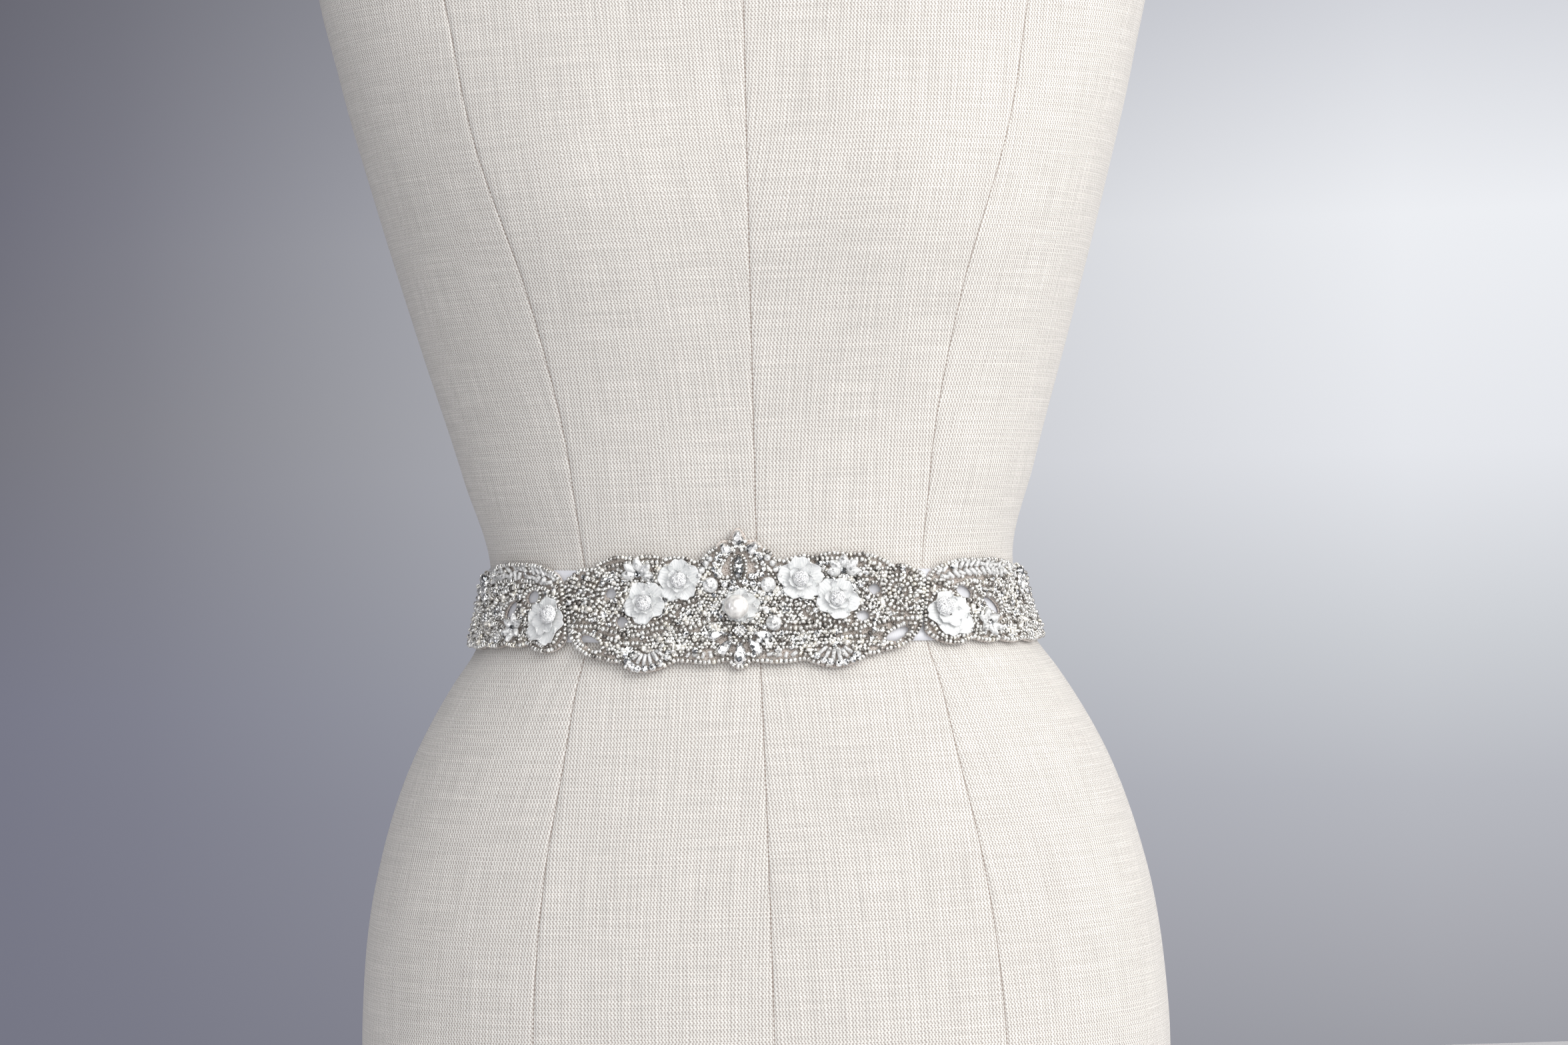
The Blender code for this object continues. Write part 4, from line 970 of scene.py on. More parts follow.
# rows of beadwork on the right half: line, kind, radius, lift above the net
frontRows = [
    (coil(72.0, 7.6, 9.6, 2.0, 60, -3.2), "seed", 1.08, 0.5),
    (oval(frontGaps[0], 0.8), "seed", 0.98, 0.3),
    (oval(frontGaps[1], 0.8), "seed", 0.98, 0.3),
    (oval(frontGaps[2], 0.9), "seed", 1.05, 0.3),
    (sweep((78, -5), (66, -5.5), (56, -8), (46, -9.5), (36, -7), (24, -8.5), (13, -4)),
     "seed", 1.2, 0.9),
    (sweep((74, -8.5), (62, -9.5), (52, -12.5), (42, -13.2)), "seed", 1.1, 0.6),
    (sweep((20, 5), (27, 2.5), (33, -3), (42, -6), (50, -5)), "seed", 1.1, 0.8),
    (sweep((4.6, 27.0), (9.6, 24.2), (11.4, 19.4), (10.0, 14.6)), "stone", 1.35, 0.9),
    (sweep((1.6, 25.6), (3.4, 21.4), (3.2, 16.6), (2.0, 13.8)), "seed", 0.8, 0.6),
    (sweep((9.8, 27.0), (14.2, 22.4), (17.2, 18.0), (19.2, 14.0)), "clearBead", 1.6, 0.8),
    (sweep((19.5, 20.6), (30, 22.4), (42, 22.8), (54, 21.9), (64, 19.4)), "seed", 1.15, 0.6),
    (sweep((54, 19), (57, 14), (55, 8)), "seed", 1.05, 0.5),
    (arc(fanMiddle, 3.6, 195, 345), "champagne", 1.35, 0.9),
    (sweep((1.0, 12.9), (4.2, 12.6), (8.0, 11.0)), "stone", 1.75, 1.3),
]
sideRows = [
    (oval(sideGaps[0], 0.8), "seed", 1.0, 0.3),
    (oval(sideGaps[1], 0.8), "seed", 1.0, 0.3),
    (oval(sideGaps[2], 0.8), "seed", 1.0, 0.3),
    (sweep((88.5, 12.2), (98, 13.4), (112, 14.2), (128, 13.8), (143, 13.6)), "seed", 1.1, 0.5),
    (sweep((93, 9.3), (97, 11.2), (112, 11.6), (126, 8.4), (136, 1.6), (148, -4.6), (162, -7)),
     "seed", 1.15, 0.7),
    (sweep((120, -8), (130, -6), (142, -10), (156, -11.6), (172, -10)), "seed", 1.1, 0.6),
    (coil(169, 3.5, 8.8, 2.0, 90, -2.9), "seed", 1.08, 0.5),
    (sweep((132, 9.4), (142, 4.0), (143, -2)), "seed", 1.05, 0.5),
    (arc((150.0, 8.6), 5.0, 100, 440), "stone", 2.0, 1.5),
    (sweep((133, -11.5), (137, -6.5), (143, -7.5)), "champagne", 1.5, 1.0),
    (sweep((158, 12.6), (170, 13.0), (180, 7), (184, -1), (179, -8)), "stone", 1.3, 0.6),
]
fanRim = (arc(fanMiddle, 10.8, 212, 328), "stone", 1.75, 1.0)
netWindows = [(6.0, 18.8, 2.0, 3.6, 12)]  # bare net on each side of the long stone
leafBugles = [  # line, bugle radius, half length, angle across the line, lift
    (sweep((90.4, 15.9), (100, 18.6), (113, 19.8), (128, 19.0), (144, 16.8)), 1.05, 2.2, 34, 0.4),
    (sweep((92.5, 13.4), (102, 15.4), (115, 16.4), (130, 15.8), (145, 14.4)), 1.05, 2.2, -34, 0.9),
    (arc(fanMiddle, 7.0, 212, 328), 1.0, 2.7, 90, 0.8),
    (sweep((11.0, -19.6), (17, -20.2), (24.0, -19.6)), 0.9, 1.7, 50, 0.4),
]


def seats(front, side, grown=0.0):  # outlines that the scattered beads keep out of
    found = []
    for node, row in clothFlowers.items():
        if ("side" in node) != front:
            found.append(oval((row[0], row[1], row[2] - 0.5, row[2] - 0.5, 0), grown))
    if front:
        along, up, radius = crystalFlowers["crystal_flower_front"][:3]
        found.append(oval((along, up + 2.6, radius - 1.0, radius * 0.5, 0), grown))
        found.append(oval((pearlCup[0], pearlCup[1], 6.6, 6.6, 0), grown))
    else:
        along, up, radius = crystalFlowers["crystal_flower_side"][:3]
        found.append(oval((along, up, radius - 1.5, radius - 1.5, 0), grown))
    for node, (along, up, halfWidth, halfLength, turn, _) in stones.items():
        here = along >= 0 and not (node == "clear_bead" and side == "left")
        if here and (along > 84) != front:
            found.append(oval((along, up, halfWidth + 0.35, halfLength + 0.2, turn), grown))
    return found


def fanAngles(line, around):  # the angle from a point to each place of a line
    return np.arctan2(line[:, 1] - around[1], line[:, 0] - around[0])


def layBeads(front, side):
    # the rim first, then the bugles and the rows, then a jittered triangular grid between them,
    # and last a thin layer on top
    loop = frontLoop if front else sideLoop
    gaps = frontGaps if front else sideGaps
    out = dict(seed=[], stone=[], clearBead=[], champagne=[], bugle=[])
    taken = [np.empty((0, 2))]  # the places that hold a bead already

    def free(points, clear):
        good = insideLoop(points, loop)
        for row in gaps:
            good &= ~insideLoop(points, oval(row, 0.25))
        if front:
            good &= points[:, 0] > 0.2
        placed = np.vstack(taken)
        if len(placed):
            good[good] = nearest(points[good], placed) > clear
        return good

    def layRow(line, kind, radius, lift, keepOut=()):
        place, way = spaced(line, beadSizes["rowPitch"] * radius)
        place = place + random.normal(0, beadSizes["unevenRows"], place.shape)
        good = free(place, beadSizes["clear"])
        for seat in keepOut:
            good &= ~insideLoop(place, seat)
        out[kind].append(np.column_stack([place, way, radius * random.uniform(0.9, 1.12, len(way)),
                                          lift + random.uniform(0, 0.3, len(way))])[good])
        taken.append(place[good])

    def layBugles(line, size, half, across, lift):
        fan = across == 90
        place, way = spaced(line, (2.2 if fan else 3.0) * size)
        good = free(place, 0.4) & (random.random(len(place)) < 0.93)
        if fan:
            way = fanAngles(place, fanMiddle) - math.pi / 2
        way = way + math.radians(across) + random.normal(0, 0.06 if fan else 0.5, len(place))
        out["bugle"].append(np.column_stack([
            place, way, size * random.uniform(0.85, 1.15, len(place)),
            half * random.uniform(0.8, 1.1, len(place)), np.full(len(place), lift)])[good])
        reach = half * np.stack([np.cos(way), np.sin(way)], axis=1)[good]
        taken.extend(place[good] + share * reach for share in (-0.75, 0, 0.75))

    def scatter(step, clear, edge, lift, onTop):
        low, high = loop.min(axis=0), loop.max(axis=0)
        low = np.array([max(low[0], 0 if front else -999), low[1]])
        row, column = np.meshgrid(np.arange(int((high[1] - low[1]) / (step * 0.866))),
                                  np.arange(int((high[0] - low[0]) / step)), indexing="ij")
        grid = np.stack([low[0] + (column + 0.5 * (row % 2)) * step, low[1] + row * step * 0.866],
                        axis=-1).reshape(-1, 2)
        grid = grid + random.uniform(-1, 1, grid.shape) * beadSizes["fillJitter"] * step / 2
        good = free(grid, clear)
        if onTop:
            good &= random.random(len(grid)) < beadSizes["topShare"]
        good[good] = nearest(grid[good], loop) > edge
        bare = [oval(row) for row in netWindows] if front else []
        for seat in seats(front, side, 1.7 if onTop else 0.0) + bare:
            good &= ~insideLoop(grid, seat)
        if onTop and not front:
            good &= grid[:, 0] > 130
        grid = grid[good]
        size = random.uniform(0.82, 1.2, len(grid))
        lifts = lift + random.uniform(0, 0.7, len(grid))
        pick = random.random(len(grid))
        way = random.uniform(0, math.pi, len(grid))
        both = np.column_stack([grid, way, size, lifts])
        first, second = beadSizes["stoneShare"], beadSizes["stoneShare"] + beadSizes["clearShare"]
        out["seed"].append(both[pick >= second])
        both[:, 3] *= 1.35
        out["stone"].append(both[pick < first])
        out["champagne"].append(both[(pick >= first) & (pick < second)])
        if not onTop:
            taken.append(grid)

    stoneSeats = seats(front, side, 0.5)
    if front:
        layRow(*fanRim, stoneSeats)
    layRow(closed(inset(loop, 0.6)), "seed", 1.08, 0.15, stoneSeats)
    for row in leafBugles:
        if (row[0][0, 0] > 84) != front:
            layBugles(*row)
    petals = [oval((row[0], row[1], row[2] - 0.2, row[2] - 0.2, 0))
              for node, row in clothFlowers.items() if ("side" in node) != front]
    for row in frontRows if front else sideRows:
        layRow(*row, petals)
    if not front:  # beads round the flower follow its petals
        along, up, _, count, start = clothFlowers["cloth_flower_side"]
        turn = np.linspace(0, 2 * math.pi, 160)
        lobes = np.abs(np.cos(count / 2 * (turn - math.radians(start))))
        reach = 11.4 * (0.84 + 0.16 * lobes**0.7)
        layRow(np.stack([along + reach * np.cos(turn), up + reach * np.sin(turn)], axis=1),
               "seed", 1.0, 0.9)
    scatter(beadSizes["fillStep"], beadSizes["fillClear"], 0.8, 0.0, False)
    scatter(beadSizes["topStep"], 0.0, 2.0, 1.45, True)

    laidOut = {}
    for kind, found in out.items():
        found = np.vstack(found) if found else np.empty((0, 6 if kind == "bugle" else 5))
        if side == "left":
            found = found * np.array([-1] + [1] * (found.shape[1] - 1))
            found[:, 2] = math.pi - found[:, 2]
        laidOut[kind] = found
    return laidOut


def beadTones(count):  # a share of smoky beads, most silver, some champagne
    tone = random.beta(2.2, 1.9, count)
    return np.where(random.random(count) < 0.10, tone * 0.25, 0.15 + 0.85 * tone)


def buildBeads(name, laidOut):
    netTop = sashSizes["groundOffset"] + sashSizes["groundThickness"]
    parts, tones = [], []
    along, up, way, radius, lift = laidOut["seed"].T
    centre, frames = laidFrames(along, up, netTop + 0.95 * radius + lift)
    frames = turned(frames, 2, way)
    frames = turned(frames, 1, random.normal(0, 0.22, len(along)))
    frames = frames[:, [1, 2, 0]]  # the hole lies along the row
    points, faces = stamped(*seedBead, centre, frames, radius)
    parts.append((points, faces, [0]))
    tones.append(np.repeat(beadTones(len(along)), len(seedBead[0])))

    along, up, way, radius, lift = laidOut["stone"].T
    centre, frames = laidFrames(along, up, netTop + 0.55 * radius + lift)
    frames = turned(turned(frames, 2, way), 0, random.normal(0, 0.24, len(along)))
    frames = turned(frames, 1, random.normal(0, 0.24, len(along)))
    points, faces = stamped(*chaton(), centre, frames, radius)
    parts.append((points, faces, [1, 1, 2, 2, 2, 2, 2]))
    tones.append(np.full(len(points), 0.5))

    for slot, kind in ((3, "clearBead"), (5, "champagne")):
        if not len(laidOut[kind]):
            continue
        along, up, way, radius, lift = laidOut[kind].T
        centre, frames = laidFrames(along, up, netTop + radius + lift * 0.5)
        points, faces = stamped(*roundBead, centre, turned(frames, 2, way)[:, [1, 2, 0]], radius)
        parts.append((points, faces, [slot] * 3))
        tones.append(np.full(len(points), 0.5))
    if len(laidOut["bugle"]):
        along, up, way, radius, half, lift = laidOut["bugle"].T
        centre, frames = laidFrames(along, up, netTop + radius + lift)
        frames = turned(frames, 2, way)[:, [1, 2, 0]]
        points, faces = stamped(*bugleBead, centre, frames, np.stack([radius, radius, half], 1))
        parts.append((points, faces, [4, 4, 4]))
        tones.append(np.full(len(points), 0.5))
    points, faces, slots = joined(parts)
    piece = meshPiece(name, points, faces, [glass["seed"], glass["cup"], glass["stone"],
                                            glass["clear"], glass["bugle"], glass["champagne"]],
                      tone=np.concatenate(tones), slots=slots)
    piece.data.polygons.foreach_set("use_smooth", slots != 2)
    print(name, len(laidOut["seed"]), "seed beads,", len(laidOut["stone"]), "small stones")


# Cut stones, pearl and pave balls

def facetedShape(outline, rise, sides=16):
    # rings at shares of an outline: cup, girdle, a ring of facets turned by half a step, table
    step = math.pi / sides
    turn = np.linspace(0, 2 * math.pi, sides, endpoint=False)
    rings = []
    for share, height, shift in ((0.86, 0.0, 0), (1.05, 0.30, 0), (1.0, 0.42, 0),
                                 (0.82, 0.78, step), (0.54, 1.0, 0)):
        x, y = outline(turn + shift)
        rings.append(np.stack([x * share, y * share, np.full(sides, height * rise)], axis=1))
    points = np.vstack(rings)
    now, then = np.arange(sides), (np.arange(sides) + 1) % sides
    a, b, c = 2 * sides, 3 * sides, 4 * sides
    faces = [gridFaces(2, sides, closeColumns=True), now[None, ::-1],
             gridFaces(2, sides, closeColumns=True, start=sides),
             np.stack([a + now, a + then, b + now], axis=1),
             np.stack([a + then, b + then, b + now], axis=1),
             np.stack([b + now, c + then, c + now], axis=1),
             np.stack([b + now, b + then, c + then], axis=1), c + now[None]]
    return points, faces


def stoneOutline(name, halfWidth, halfLength):
    # round or oval as sine and cosine, a marquise's sine drawn in to points, a square stone's both
    # swelled out to corners, and a drop's sine narrowed towards its tip
    def outline(t):
        side, ahead = np.sin(t), np.cos(t)
        if "marquise" in name:
            return halfWidth * side * np.abs(side) ** 0.3, halfLength * ahead
        if "pave" in name:
            return (halfWidth * 0.95 * np.sign(side) * np.abs(side) ** 0.45,
                    halfLength * 0.95 * np.sign(ahead) * np.abs(ahead) ** 0.45)
        if halfLength > 1.15 * halfWidth:
            return halfWidth * (1 - 0.42 * ahead) * side, halfLength * ahead
        return halfWidth * side, halfLength * ahead
    return outline


prong = turnedShape([(0.5, -0.6), (0.5, 0.0), (0.38, 0.3), (0.15, 0.45)], 6)
roundBead = turnedShape([(0.30, -0.92), (0.72, -0.70), (0.97, -0.25), (0.97, 0.25),
                         (0.72, 0.70), (0.30, 0.92)], 9)


def ballShape(radius, flatten, rows=14, sides=24):  # a sphere that is lower than it is wide
    angle = np.linspace(-0.42 * math.pi, 0.485 * math.pi, rows)
    profile = np.stack([radius * np.cos(angle), radius * flatten * np.sin(angle)], axis=1)
    return turnedShape(profile, sides)


goldenAngle = 2.39996  # in radians


def spiralPlaces(count, lowest):
    # even places on a unit sphere above a height: even steps down, each the golden angle further on
    height = 1 - (np.arange(count) + 0.5) / count * (1 - lowest)
    turn = np.arange(count) * goldenAngle
    reach = np.sqrt(1 - height**2)
    return np.stack([reach * np.cos(turn), reach * np.sin(turn), height], axis=1)


def outwardFrames(normals):  # a frame whose third direction is the normal
    side = np.cross(normals, np.array([0.13, 0.97, 0.21]))
    side /= np.linalg.norm(side, axis=1, keepdims=True)
    return np.stack([side, np.cross(normals, side), normals], axis=1)


def buildStone(node, row):
    # a stone in its cup, held by four prongs, but for the square one and the clear beads
    along, up, halfWidth, halfLength, angle, rise = row
    centre, frames = laidFrames(np.array([along]), np.array([up]), sashSizes["trimBase"] - 0.2)
    frames = turned(frames, 2, np.array([math.radians(angle)]))
    name = camelName(node)
    outline = stoneOutline(node, halfWidth, halfLength)
    if node == "pave_stone":  # a square cushion closely set with tiny stones
        points, faces = facetedShape(outline, rise * 0.62)
        parts = [(*stamped(points, faces, centre, frames, np.ones(1)), [0] * 8)]
        grid = np.stack(np.meshgrid(*[np.linspace(-1.95, 1.95, 4)] * 2), -1).reshape(-1, 2)
        place = centre + ((grid[:, :1] * frames[0, 0] + grid[:, 1:] * frames[0, 1])
                          + (rise * 0.62 + 0.25 - 0.06 * (grid**2).sum(1, keepdims=True))
                          * frames[0, 2]) * mm
        spun = turned(np.repeat(frames, 16, axis=0), 0, random.normal(0, 0.12, 16))
        parts.append((*stamped(*chaton(), place, spun, np.full(16, 0.68)), [0, 0, 1, 1, 1, 1, 1]))
        points, faces, slots = joined(parts)
        piece = meshPiece(name, points, faces, [glass["cup"], glass["stone"]], slots=slots,
                          smooth=False)
    elif node.startswith(("clear", "side_bead")):  # a clear round bead with a seed bead in its hole
        points, faces = ballShape(1.0, 0.75 * rise / halfWidth / 1.5, 10, 18)
        parts = [(*stamped(points, faces, centre + frames[:, 2] * rise * 0.5 * mm, frames,
                           np.array([halfWidth])), [0, 0, 0])]
        top = centre + frames[:, 2] * rise * 0.98 * mm
        parts.append((*stamped(*seedBead, top, frames, np.array([1.0])), [1]))
        points, faces, slots = joined(parts)
        tone = np.full(len(points), 0.75)
        piece = meshPiece(name, points, faces, [glass["clear"], glass["seed"]], slots=slots,
                          tone=tone)
    else:
        dark = node in ("crown_marquise", "side_stone_left", "side_stone_right")
        points, faces = facetedShape(outline, rise)
        parts = [(*stamped(points, faces, centre, frames, np.ones(1)), [0, 0, 1, 1, 1, 1, 1, 1])]
        x, y = outline(np.radians([35, 145, 215, 325]))
        place = centre + (x[:, None] * frames[0, 0] + y[:, None] * frames[0, 1]
                          + 0.5 * rise * frames[0, 2]) * mm
        parts.append((*stamped(*prong, place, np.repeat(frames, 4, axis=0), np.full(4, 0.8)),
                      [0, 0, 0]))
        points, faces, slots = joined(parts)
        piece = meshPiece(name, points, faces,
                          [glass["cup"], glass["smoke"] if dark else glass["crystal"]],
                          slots=slots, smooth=False)
    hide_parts(node)


cutCrumb = turnedShape([(0.7, -0.3), (1.0, 0.15), (0.55, 0.62)], 6)


def buildPaveBall(name, node, along, up, radius, seat, rise):
    # a dull silver core, closely set with tiny cut beads
    centre, frames = laidFrames(np.array([along]), np.array([up]), sashSizes["trimBase"] + seat)
    flatten = 0.72 * rise / radius
    middle = centre + frames[:, 2] * rise * 0.38 * mm
    core = ballShape(radius * 0.92, flatten)
    parts = [(*stamped(*core, middle, frames, np.ones(1)), [0, 0, 0])]
    count = int(17 * radius * radius)
    normals = spiralPlaces(count, -0.15)
    place = middle + (normals * np.array([1, 1, flatten])) @ frames[0] * radius * 0.93 * mm
    spun = turned(outwardFrames(normals @ frames[0]), 0, random.normal(0, 0.25, count))
    spun = turned(spun, 1, random.normal(0, 0.25, count))
    parts.append((*stamped(*cutCrumb, place, spun, random.uniform(0.34, 0.46, count)), [1] * 3))
    points, faces, slots = joined(parts)
    piece = meshPiece(name, points, faces, [glass["cup"], glass["crumb"]], slots=slots,
                      smooth=False)
    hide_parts(node)


def buildPearl():
    size = pearlSizes
    centre, frames = laidFrames(np.array([pearlCup[0] + size["shift"][0]]),
                                np.array([pearlCup[1] + size["shift"][1]]),
                                sashSizes["trimBase"] + size["lift"])
    ball = ballShape(size["radius"], size["flatten"], 28, 40)
    points, faces = stamped(*ball, centre, frames, np.ones(1))
    piece = meshPiece("centrePearl", points, faces, glass["pearl"])
    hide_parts("centre_pearl")


# Flowers

petalSizes = {"across": 17, "along": 12, "ruffle": 0.30, "thickness": 0.18,
              "fringe": 40, "fringeLength": (0.25, 0.65), "fringeRadius": 0.055}
# the layers of a flower: share of its radius, share of the spread, cup, lift, turn in degrees
petalLayers = {"front": [(1.16, 0.56, 2.0, 0.7, 0), (0.64, 0.54, 2.3, 1.6, 36)],
               "side": [(1.12, 0.54, 1.8, 0.7, 0), (0.64, 0.50, 1.9, 1.5, 36)],
               "pearl": [(1.06, 0.56, 1.0, 0.0, 0), (0.92, 0.50, 2.2, 0.8, 30)]}
fringe = []  # the roots, directions and lengths of the frayed threads, gathered petal by petal


def petalGrid(radius, spread, cup, lift, wobble):
    # across runs over the petal, and out runs from its root to its rounded and notched tip; the
    # petal widens as a sine up to two thirds of its length, rises as a power of out with a low
    # wave across it, and one side lies over its neighbour
    across, out = np.meshgrid(np.linspace(-1, 1, petalSizes["across"]),
                              np.linspace(0, 1, petalSizes["along"]))
    half = spread * (0.26 + 0.74 * np.sin(0.5 * math.pi * np.minimum(out / 0.68, 1)))
    half = half * (1 - 0.07 * np.clip((out - 0.68) / 0.32, 0, 1) ** 2)
    tip = 1 - 0.50 * np.abs(across) ** 3.0 * out**2
    tip = tip - 0.06 * np.exp(-((across / 0.16) ** 2)) * out**4
    tip = tip + 0.016 * np.sin(11 * across + wobble) * out**3
    x = radius * (0.10 + 0.90 * out) * tip
    y = across * half * radius
    z = lift + cup * out**1.4 * (0.70 + 0.30 * across**2) + 0.30 * across * out
    z = z + petalSizes["ruffle"] * out**2 * np.sin(5.5 * across + wobble)
    return np.stack([x, y, z], axis=-1).reshape(-1, 3)


def buildClothFlower(name, node, row, material, layers):
    along, up, radius, petals, start = row
    faces, points, uvs, area = [], [], [], 0.0
    rows, columns = petalSizes["along"], petalSizes["across"]
    one = gridFaces(rows, columns)
    for size, spread, cup, lift, shift in layers:
        for number in range(petals):
            angle = math.radians(start + shift + number * 360 / petals) + random.normal(0, 0.05)
            grown = radius * size * random.uniform(0.95, 1.04)
            local = petalGrid(grown, spread, cup, lift, random.uniform(0, 6.3))
            x = local[:, 0] * math.cos(angle) - local[:, 1] * math.sin(angle)
            y = local[:, 0] * math.sin(angle) + local[:, 1] * math.cos(angle)
            faces.append(one + len(points) * len(local))
            placed = laid(along + x, up + y, sashSizes["trimBase"] + 0.3 + local[:, 2]
                          + 0.04 * number)
            points.append(placed)
            uvs.append(local[:, :2] * mm + np.array([number * 0.031, size * 0.017]))
            corners = local[one][..., :2]
            first, second = corners[:, 2] - corners[:, 0], corners[:, 3] - corners[:, 1]
            area += np.abs(first[:, 0] * second[:, 1] - first[:, 1] * second[:, 0]).sum() / 2
            # frayed threads stand out of the rounded end, along the last stretch of the petal
            grid = placed.reshape(rows, columns, 3)
            at = random.uniform(0, columns - 1.001, petalSizes["fringe"])
            low, share = at.astype(int), (at % 1)[:, None]
            edge = grid[-1, low] * (1 - share) + grid[-1, low + 1] * share
            back = grid[-2, low] * (1 - share) + grid[-2, low + 1] * share
            way = edge - back
            way /= np.linalg.norm(way, axis=1, keepdims=True)
            way += random.normal(0, 0.22, way.shape)
            way /= np.linalg.norm(way, axis=1, keepdims=True)
            fringe.append(np.hstack([edge - way * 0.1 * mm, way]))
    piece = meshPiece(name, np.vstack(points), [np.vstack(faces)], material, uv=np.vstack(uvs))
    wall = piece.modifiers.new("thickness", "SOLIDIFY")
    wall.thickness, wall.offset = petalSizes["thickness"] * mm, 1.0
    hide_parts(node)


def buildFringe(material):
    # every frayed thread is a thin three-sided needle
    rows = np.vstack(fringe)
    low, high = petalSizes["fringeLength"]
    length = random.uniform(low, high, len(rows))
    needle = turnedShape([(1.0, 0.0), (0.8, 0.5), (0.25, 1.0)], 3)
    thick = np.full(len(rows), petalSizes["fringeRadius"])
    points, faces = stamped(*needle, rows[:, :3], outwardFrames(rows[:, 3:]),
                            np.stack([thick, thick, length], axis=1))
    meshPiece("petalFringe", points, faces, material)


def navetteShape(halfWidth, length, rise):
    # a clear petal: its half width is a sine along it, so it is pointed at both ends, and its
    # height falls to both sides from a soft ridge
    across, out = np.meshgrid(np.linspace(-1, 1, 7), np.linspace(0.02, 0.98, 12))
    half = halfWidth * np.sin(math.pi * out**0.85) ** 0.75
    x, y = length * out, across * half
    top = rise * np.sin(math.pi * out) ** 0.5 * (1 - np.abs(across) ** 1.6)
    upper = np.stack([x, y, top + 0.25 * rise], axis=-1).reshape(-1, 3)
    lower = np.stack([x, y, -0.15 * top], axis=-1).reshape(-1, 3)
    faces = gridFaces(12, 7)
    rim = np.concatenate([np.arange(7), 7 * np.arange(1, 12) + 6, 77 + np.arange(5, -1, -1),
                          7 * np.arange(10, 0, -1)])
    following = np.roll(rim, -1)
    wall = np.stack([rim, following, following + 84, rim + 84], axis=1)
    return np.vstack([upper, lower]), [faces[:, ::-1], faces + 84, wall]


# petal width and length in shares of the flower's radius, and millimetres
crystalSizes = {"width": 0.31, "length": 0.90, "rise": 1.7, "fromMiddle": 0.9, "slope": 0.22,
                "lift": 0.9, "heart": 1.5, "heartLift": 1.9}


def buildCrystalFlower(name, node, row, angles):
    # petals that spread and rise from the middle, and a smoky stone in its cup
    along, up, radius = row
    size = crystalSizes
    local, shapeFaces = navetteShape(radius * size["width"], radius * size["length"], size["rise"])
    parts = []
    for angle in np.radians(angles):
        reach = local[:, 0] + size["fromMiddle"]
        x = reach * math.cos(angle) - local[:, 1] * math.sin(angle)
        y = reach * math.sin(angle) + local[:, 1] * math.cos(angle)
        z = local[:, 2] + size["slope"] * local[:, 0] + size["lift"]
        parts.append((laid(along + x, up + y, sashSizes["trimBase"] + z), shapeFaces, [0, 0, 0]))
    centre, frames = laidFrames(np.array([along]), np.array([up]),
                                sashSizes["trimBase"] + size["heartLift"])
    heart = stamped(*chaton(), centre, frames, np.array([size["heart"]]))
    parts.append((*heart, [1, 1, 2, 2, 2, 2, 2]))
    points, faces, slots = joined(parts)
    piece = meshPiece(name, points, faces, [glass["clear"], glass["cup"], glass["smoke"]],
                      slots=slots)
    piece.data.polygons.foreach_set("use_smooth", slots == 0)
    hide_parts(node)


buildRibbon()
buildGrounds()
for front in (True, False):
    for side in ("left", "right"):
        where = "front" if front else "side"
        buildBeads(f"{where}{side.capitalize()}Beads", layBeads(front, side))
print("beadwork laid")

organza = organzaMaterial()
for side, sign in (("left", -1), ("right", 1)):
    for node, (along, up, radius, petals, turn) in clothFlowers.items():
        placed = (sign * along, up, radius, petals, turn if sign > 0 else 180 - turn)
        beside = "side" in node
        buildClothFlower(camelName(f"{node}_{side}"), f"{node}_{side}", placed, organza,
                         petalLayers["side" if beside else "front"])
        radius, rise, seat, ahead, above = flowerBalls[node]
        ball = node.replace("cloth_flower", "flower_ball") + f"_{side}"
        buildPaveBall(camelName(ball), ball, sign * (along + ahead), up + above, radius, seat, rise)
    for node, (along, up, radius, _, _) in crystalFlowers.items():
        angles = (-4, 36, 90, 144, 184) if "front" in node else np.arange(6) * 60 + 90
        buildCrystalFlower(camelName(f"{node}_{side}"), f"{node}_{side}",
                           (sign * along, up, radius), angles)
buildClothFlower("pearlPetals", "pearl_petals", pearlCup, organza,
                 petalLayers["pearl"])
buildFringe(organza)
buildPearl()
for node, row in stones.items():
    buildStone(node, row)
print("flowers, pearl and stones set")


# Floor, light and camera

floorSizes = {"halfWidth": 1.3, "front": -1.6, "back": 0.46, "edge": 0.02}


def buildStage():
    half, front, back, edge = floorSizes.values()
    side = np.array([-half, -half + edge, half - edge, half])
    depth = np.array([front, front + edge, back - edge, back])
    x, y = np.meshgrid(side, depth)
    points = np.stack([x, y, np.zeros_like(x)], axis=-1).reshape(-1, 3)
    # Painted board: pale and matt, so that it only lifts the shadows
    material = startMaterial("paintedBoard", "#d9d9dc", {"Roughness": 0.6})[0]
    mesh = bpy.data.meshes.new("paleFloor")
    mesh.from_pydata(points.tolist(), [], gridFaces(4, 4).tolist())
    mesh.materials.append(material)
    floor = bpy.data.objects.new("paleFloor", mesh)
    scene.collection.objects.link(floor)


# place, what it points at, width and height, watts, colour
studioLights = {
    "keyPanel": ((1.5, -1.7, 1.3), (0, 0, 0.36), (1.3, 1.0), 22, "#fffdfa"),
    "lowPanel": ((-0.8, -1.15, 0.12), (0, 0, 0.31), (0.22, 0.22), 1.5, "#ffffff"),
    "rightPanel": ((1.5, 0.15, 0.55), (0.05, 0, 0.36), (0.6, 1.2), 6, "#fffdf9"),
    "sideStrip": ((-1.7, -0.9, 0.7), (0, 0, 0.32), (0.25, 1.2), 3, "#f2f5ff"),
}


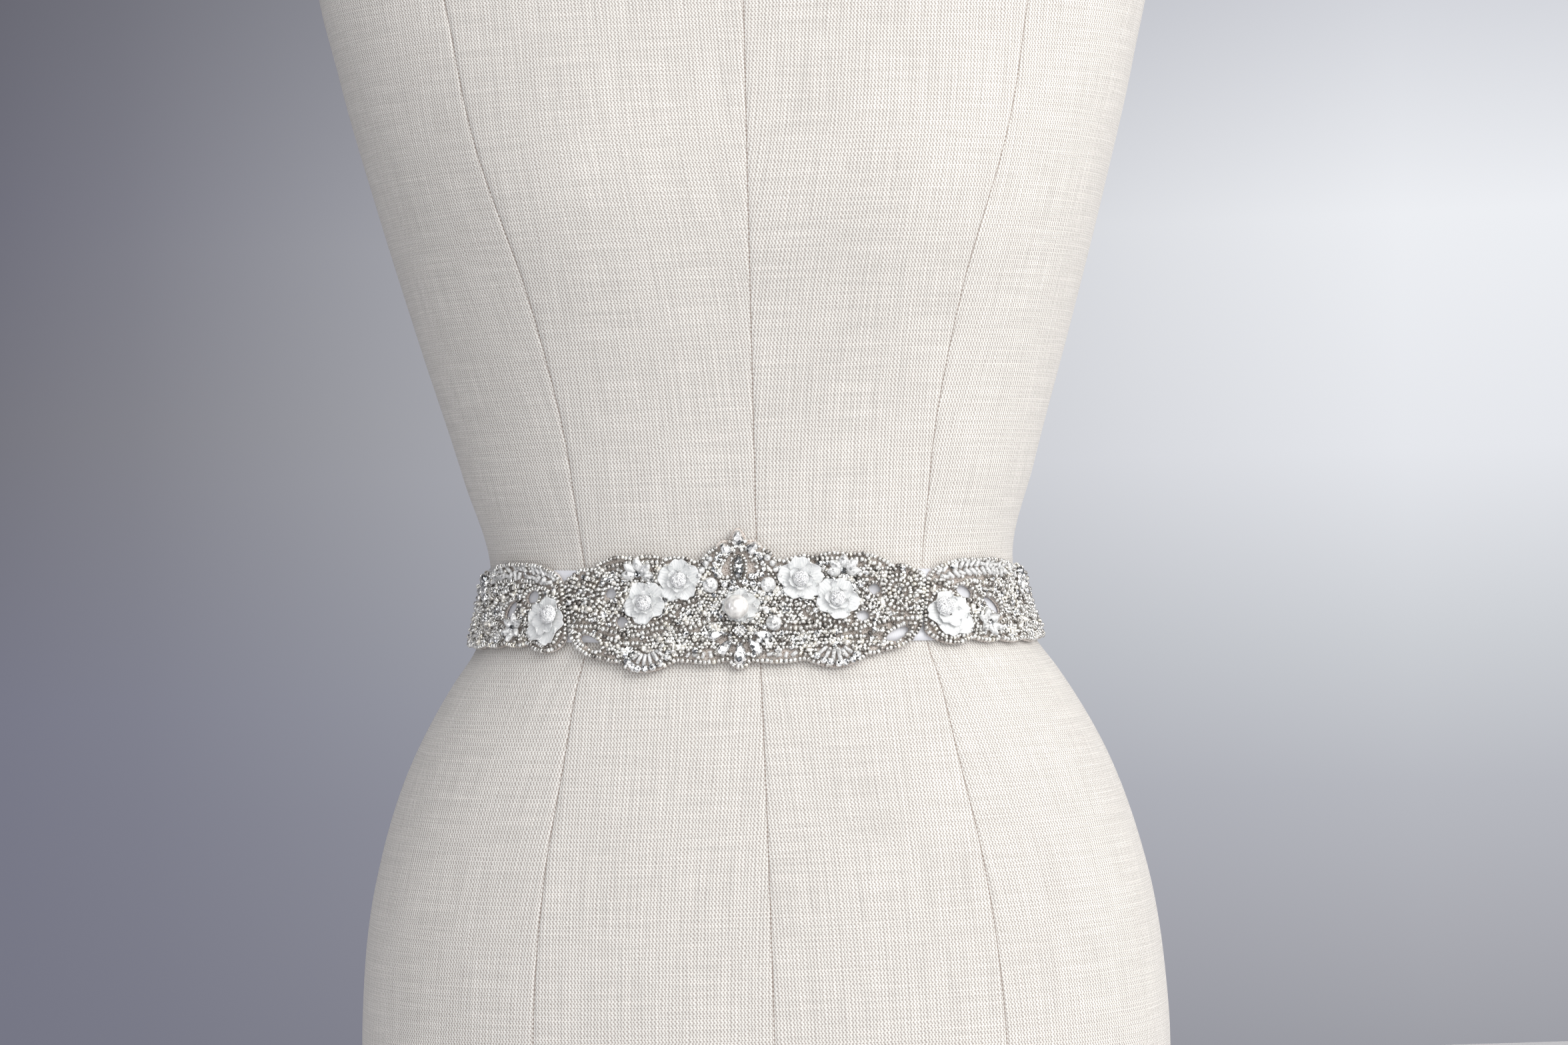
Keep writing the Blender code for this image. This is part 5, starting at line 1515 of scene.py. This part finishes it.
def areaLight(name, place, target, size, power, colour):
    light = bpy.data.lights.new(name, "AREA")
    light.shape, light.size, light.size_y = "RECTANGLE", *size
    light.energy, light.color = power, linear(colour)[:3]
    lamp = bpy.data.objects.new(name, light)
    scene.collection.objects.link(lamp)
    lamp.location = place
    lamp.rotation_euler = (Vector(target) - Vector(place)).to_track_quat("-Z", "Y").to_euler()


def buildWorld():
    # what the camera sees is a grey wall with painted light and shade, darker at the left, and at
    # the right also low down; what lights the piece is a soft room, brightest in front at the right
    # and dimmest at the sides
    world = bpy.data.worlds.new("studioRoom")
    scene.world = world
    world.use_nodes = True
    tree = world.node_tree
    wall = tree.nodes["Background"]
    place = addNode(tree, "TexCoord")
    parts = addNode(tree, "SeparateXYZ", links={0: place.outputs["Generated"]})
    rise = addNode(tree, "MapRange", {1: -0.15, 2: 0.15}, {0: parts.outputs["Z"]})
    sides = []
    # painted shade on the wall: its tones low to high, darker at the left, and at the right darker
    # low down
    for stops in (((0.0, "#757684"), (0.35, "#787988"), (0.6, "#76767f"), (0.8, "#6e6e7a"),
                   (1.0, "#666670")),
                  ((0.0, "#9d9ea5"), (0.12, "#acadb4"), (0.25, "#babcc3"), (0.38, "#cfd2d7"),
                   (0.55, "#e9ebf0"), (0.76, "#f1f3f7"), (1.0, "#d1d3da"))):
        ramp = addNode(tree, "ValToRGB", links={"Fac": rise.outputs[0]})
        fillRamp(ramp.color_ramp, stops)
        sides.append(ramp.outputs["Color"])
    across = addNode(tree, "MapRange", {1: -0.21, 2: 0.21}, {0: parts.outputs["X"]})
    share = addNode(tree, "ValToRGB", links={"Fac": across.outputs[0]})
    fillRamp(share.color_ramp, [(0.0, "#101010"), (0.085, "#4b4b4b"), (0.22, "#808080"),
                                (0.74, "#e7e7e7"), (0.9, "#fafafa")])
    mixed = addNode(tree, "Mix", links={0: share.outputs["Color"], 6: sides[0], 7: sides[1]},
                    data_type="RGBA")
    tree.links.new(mixed.outputs[2], wall.inputs["Color"])

    toward = addNode(tree, "VectorMath", {1: (0.40, -0.80, 0.44)},
                     {0: place.outputs["Generated"]}, operation="DOT_PRODUCT")
    soft = addNode(tree, "MapRange", {1: -1.0, 2: 1.0}, {0: toward.outputs["Value"]})
    room = addNode(tree, "ValToRGB", links={"Fac": soft.outputs[0]})
    fillRamp(room.color_ramp, [(0.0, "#bdbcbe"), (0.3, "#8b8a8e"), (0.5, "#605f64"),
                               (0.76, "#9c9ca1"), (0.86, "#f2f1ef"), (1.0, "#ffffff")])
    bright = addNode(tree, "MapRange", {1: 0.84, 2: 0.90, 3: 0.72, 4: 2.2}, {0: soft.outputs[0]},
                     interpolation_type="SMOOTHSTEP")
    light = addNode(tree, "Background", links={"Color": room.outputs["Color"],
                                               "Strength": bright.outputs[0]})
    seen = addNode(tree, "LightPath")
    both = addNode(tree, "MixShader", links={0: seen.outputs["Is Camera Ray"],
                                             1: light.outputs[0], 2: wall.outputs[0]})
    tree.links.new(both.outputs[0], tree.nodes["World Output"].inputs["Surface"])


cameraSizes = {"distance": 1.7, "right": 0.0155, "height": 0.0205, "pixelsPerMetre": 3227,
               "photoWidth": 2352, "roll": 1.75, "sensor": 36.0}


def buildCamera():
    size = cameraSizes
    data = bpy.data.cameras.new("photoCamera")
    data.sensor_width = size["sensor"]
    frameWidth = size["photoWidth"] / size["pixelsPerMetre"]  # in metres at the form's middle
    data.lens = size["sensor"] * size["distance"] / frameWidth
    camera = bpy.data.objects.new("photoCamera", data)
    scene.collection.objects.link(camera)
    camera.location = (size["right"], formSizes["middleY"] - size["distance"],
                       formSizes["waistHeight"] + size["height"])
    camera.rotation_euler = (math.radians(90), math.radians(size["roll"]), 0)
    scene.camera = camera


buildStage()
buildWorld()
for name, light in studioLights.items():
    areaLight(name, *light)
buildCamera()
scene.view_settings.view_transform = "Standard"
scene.view_settings.look = "None"
print("stage, light and camera set")
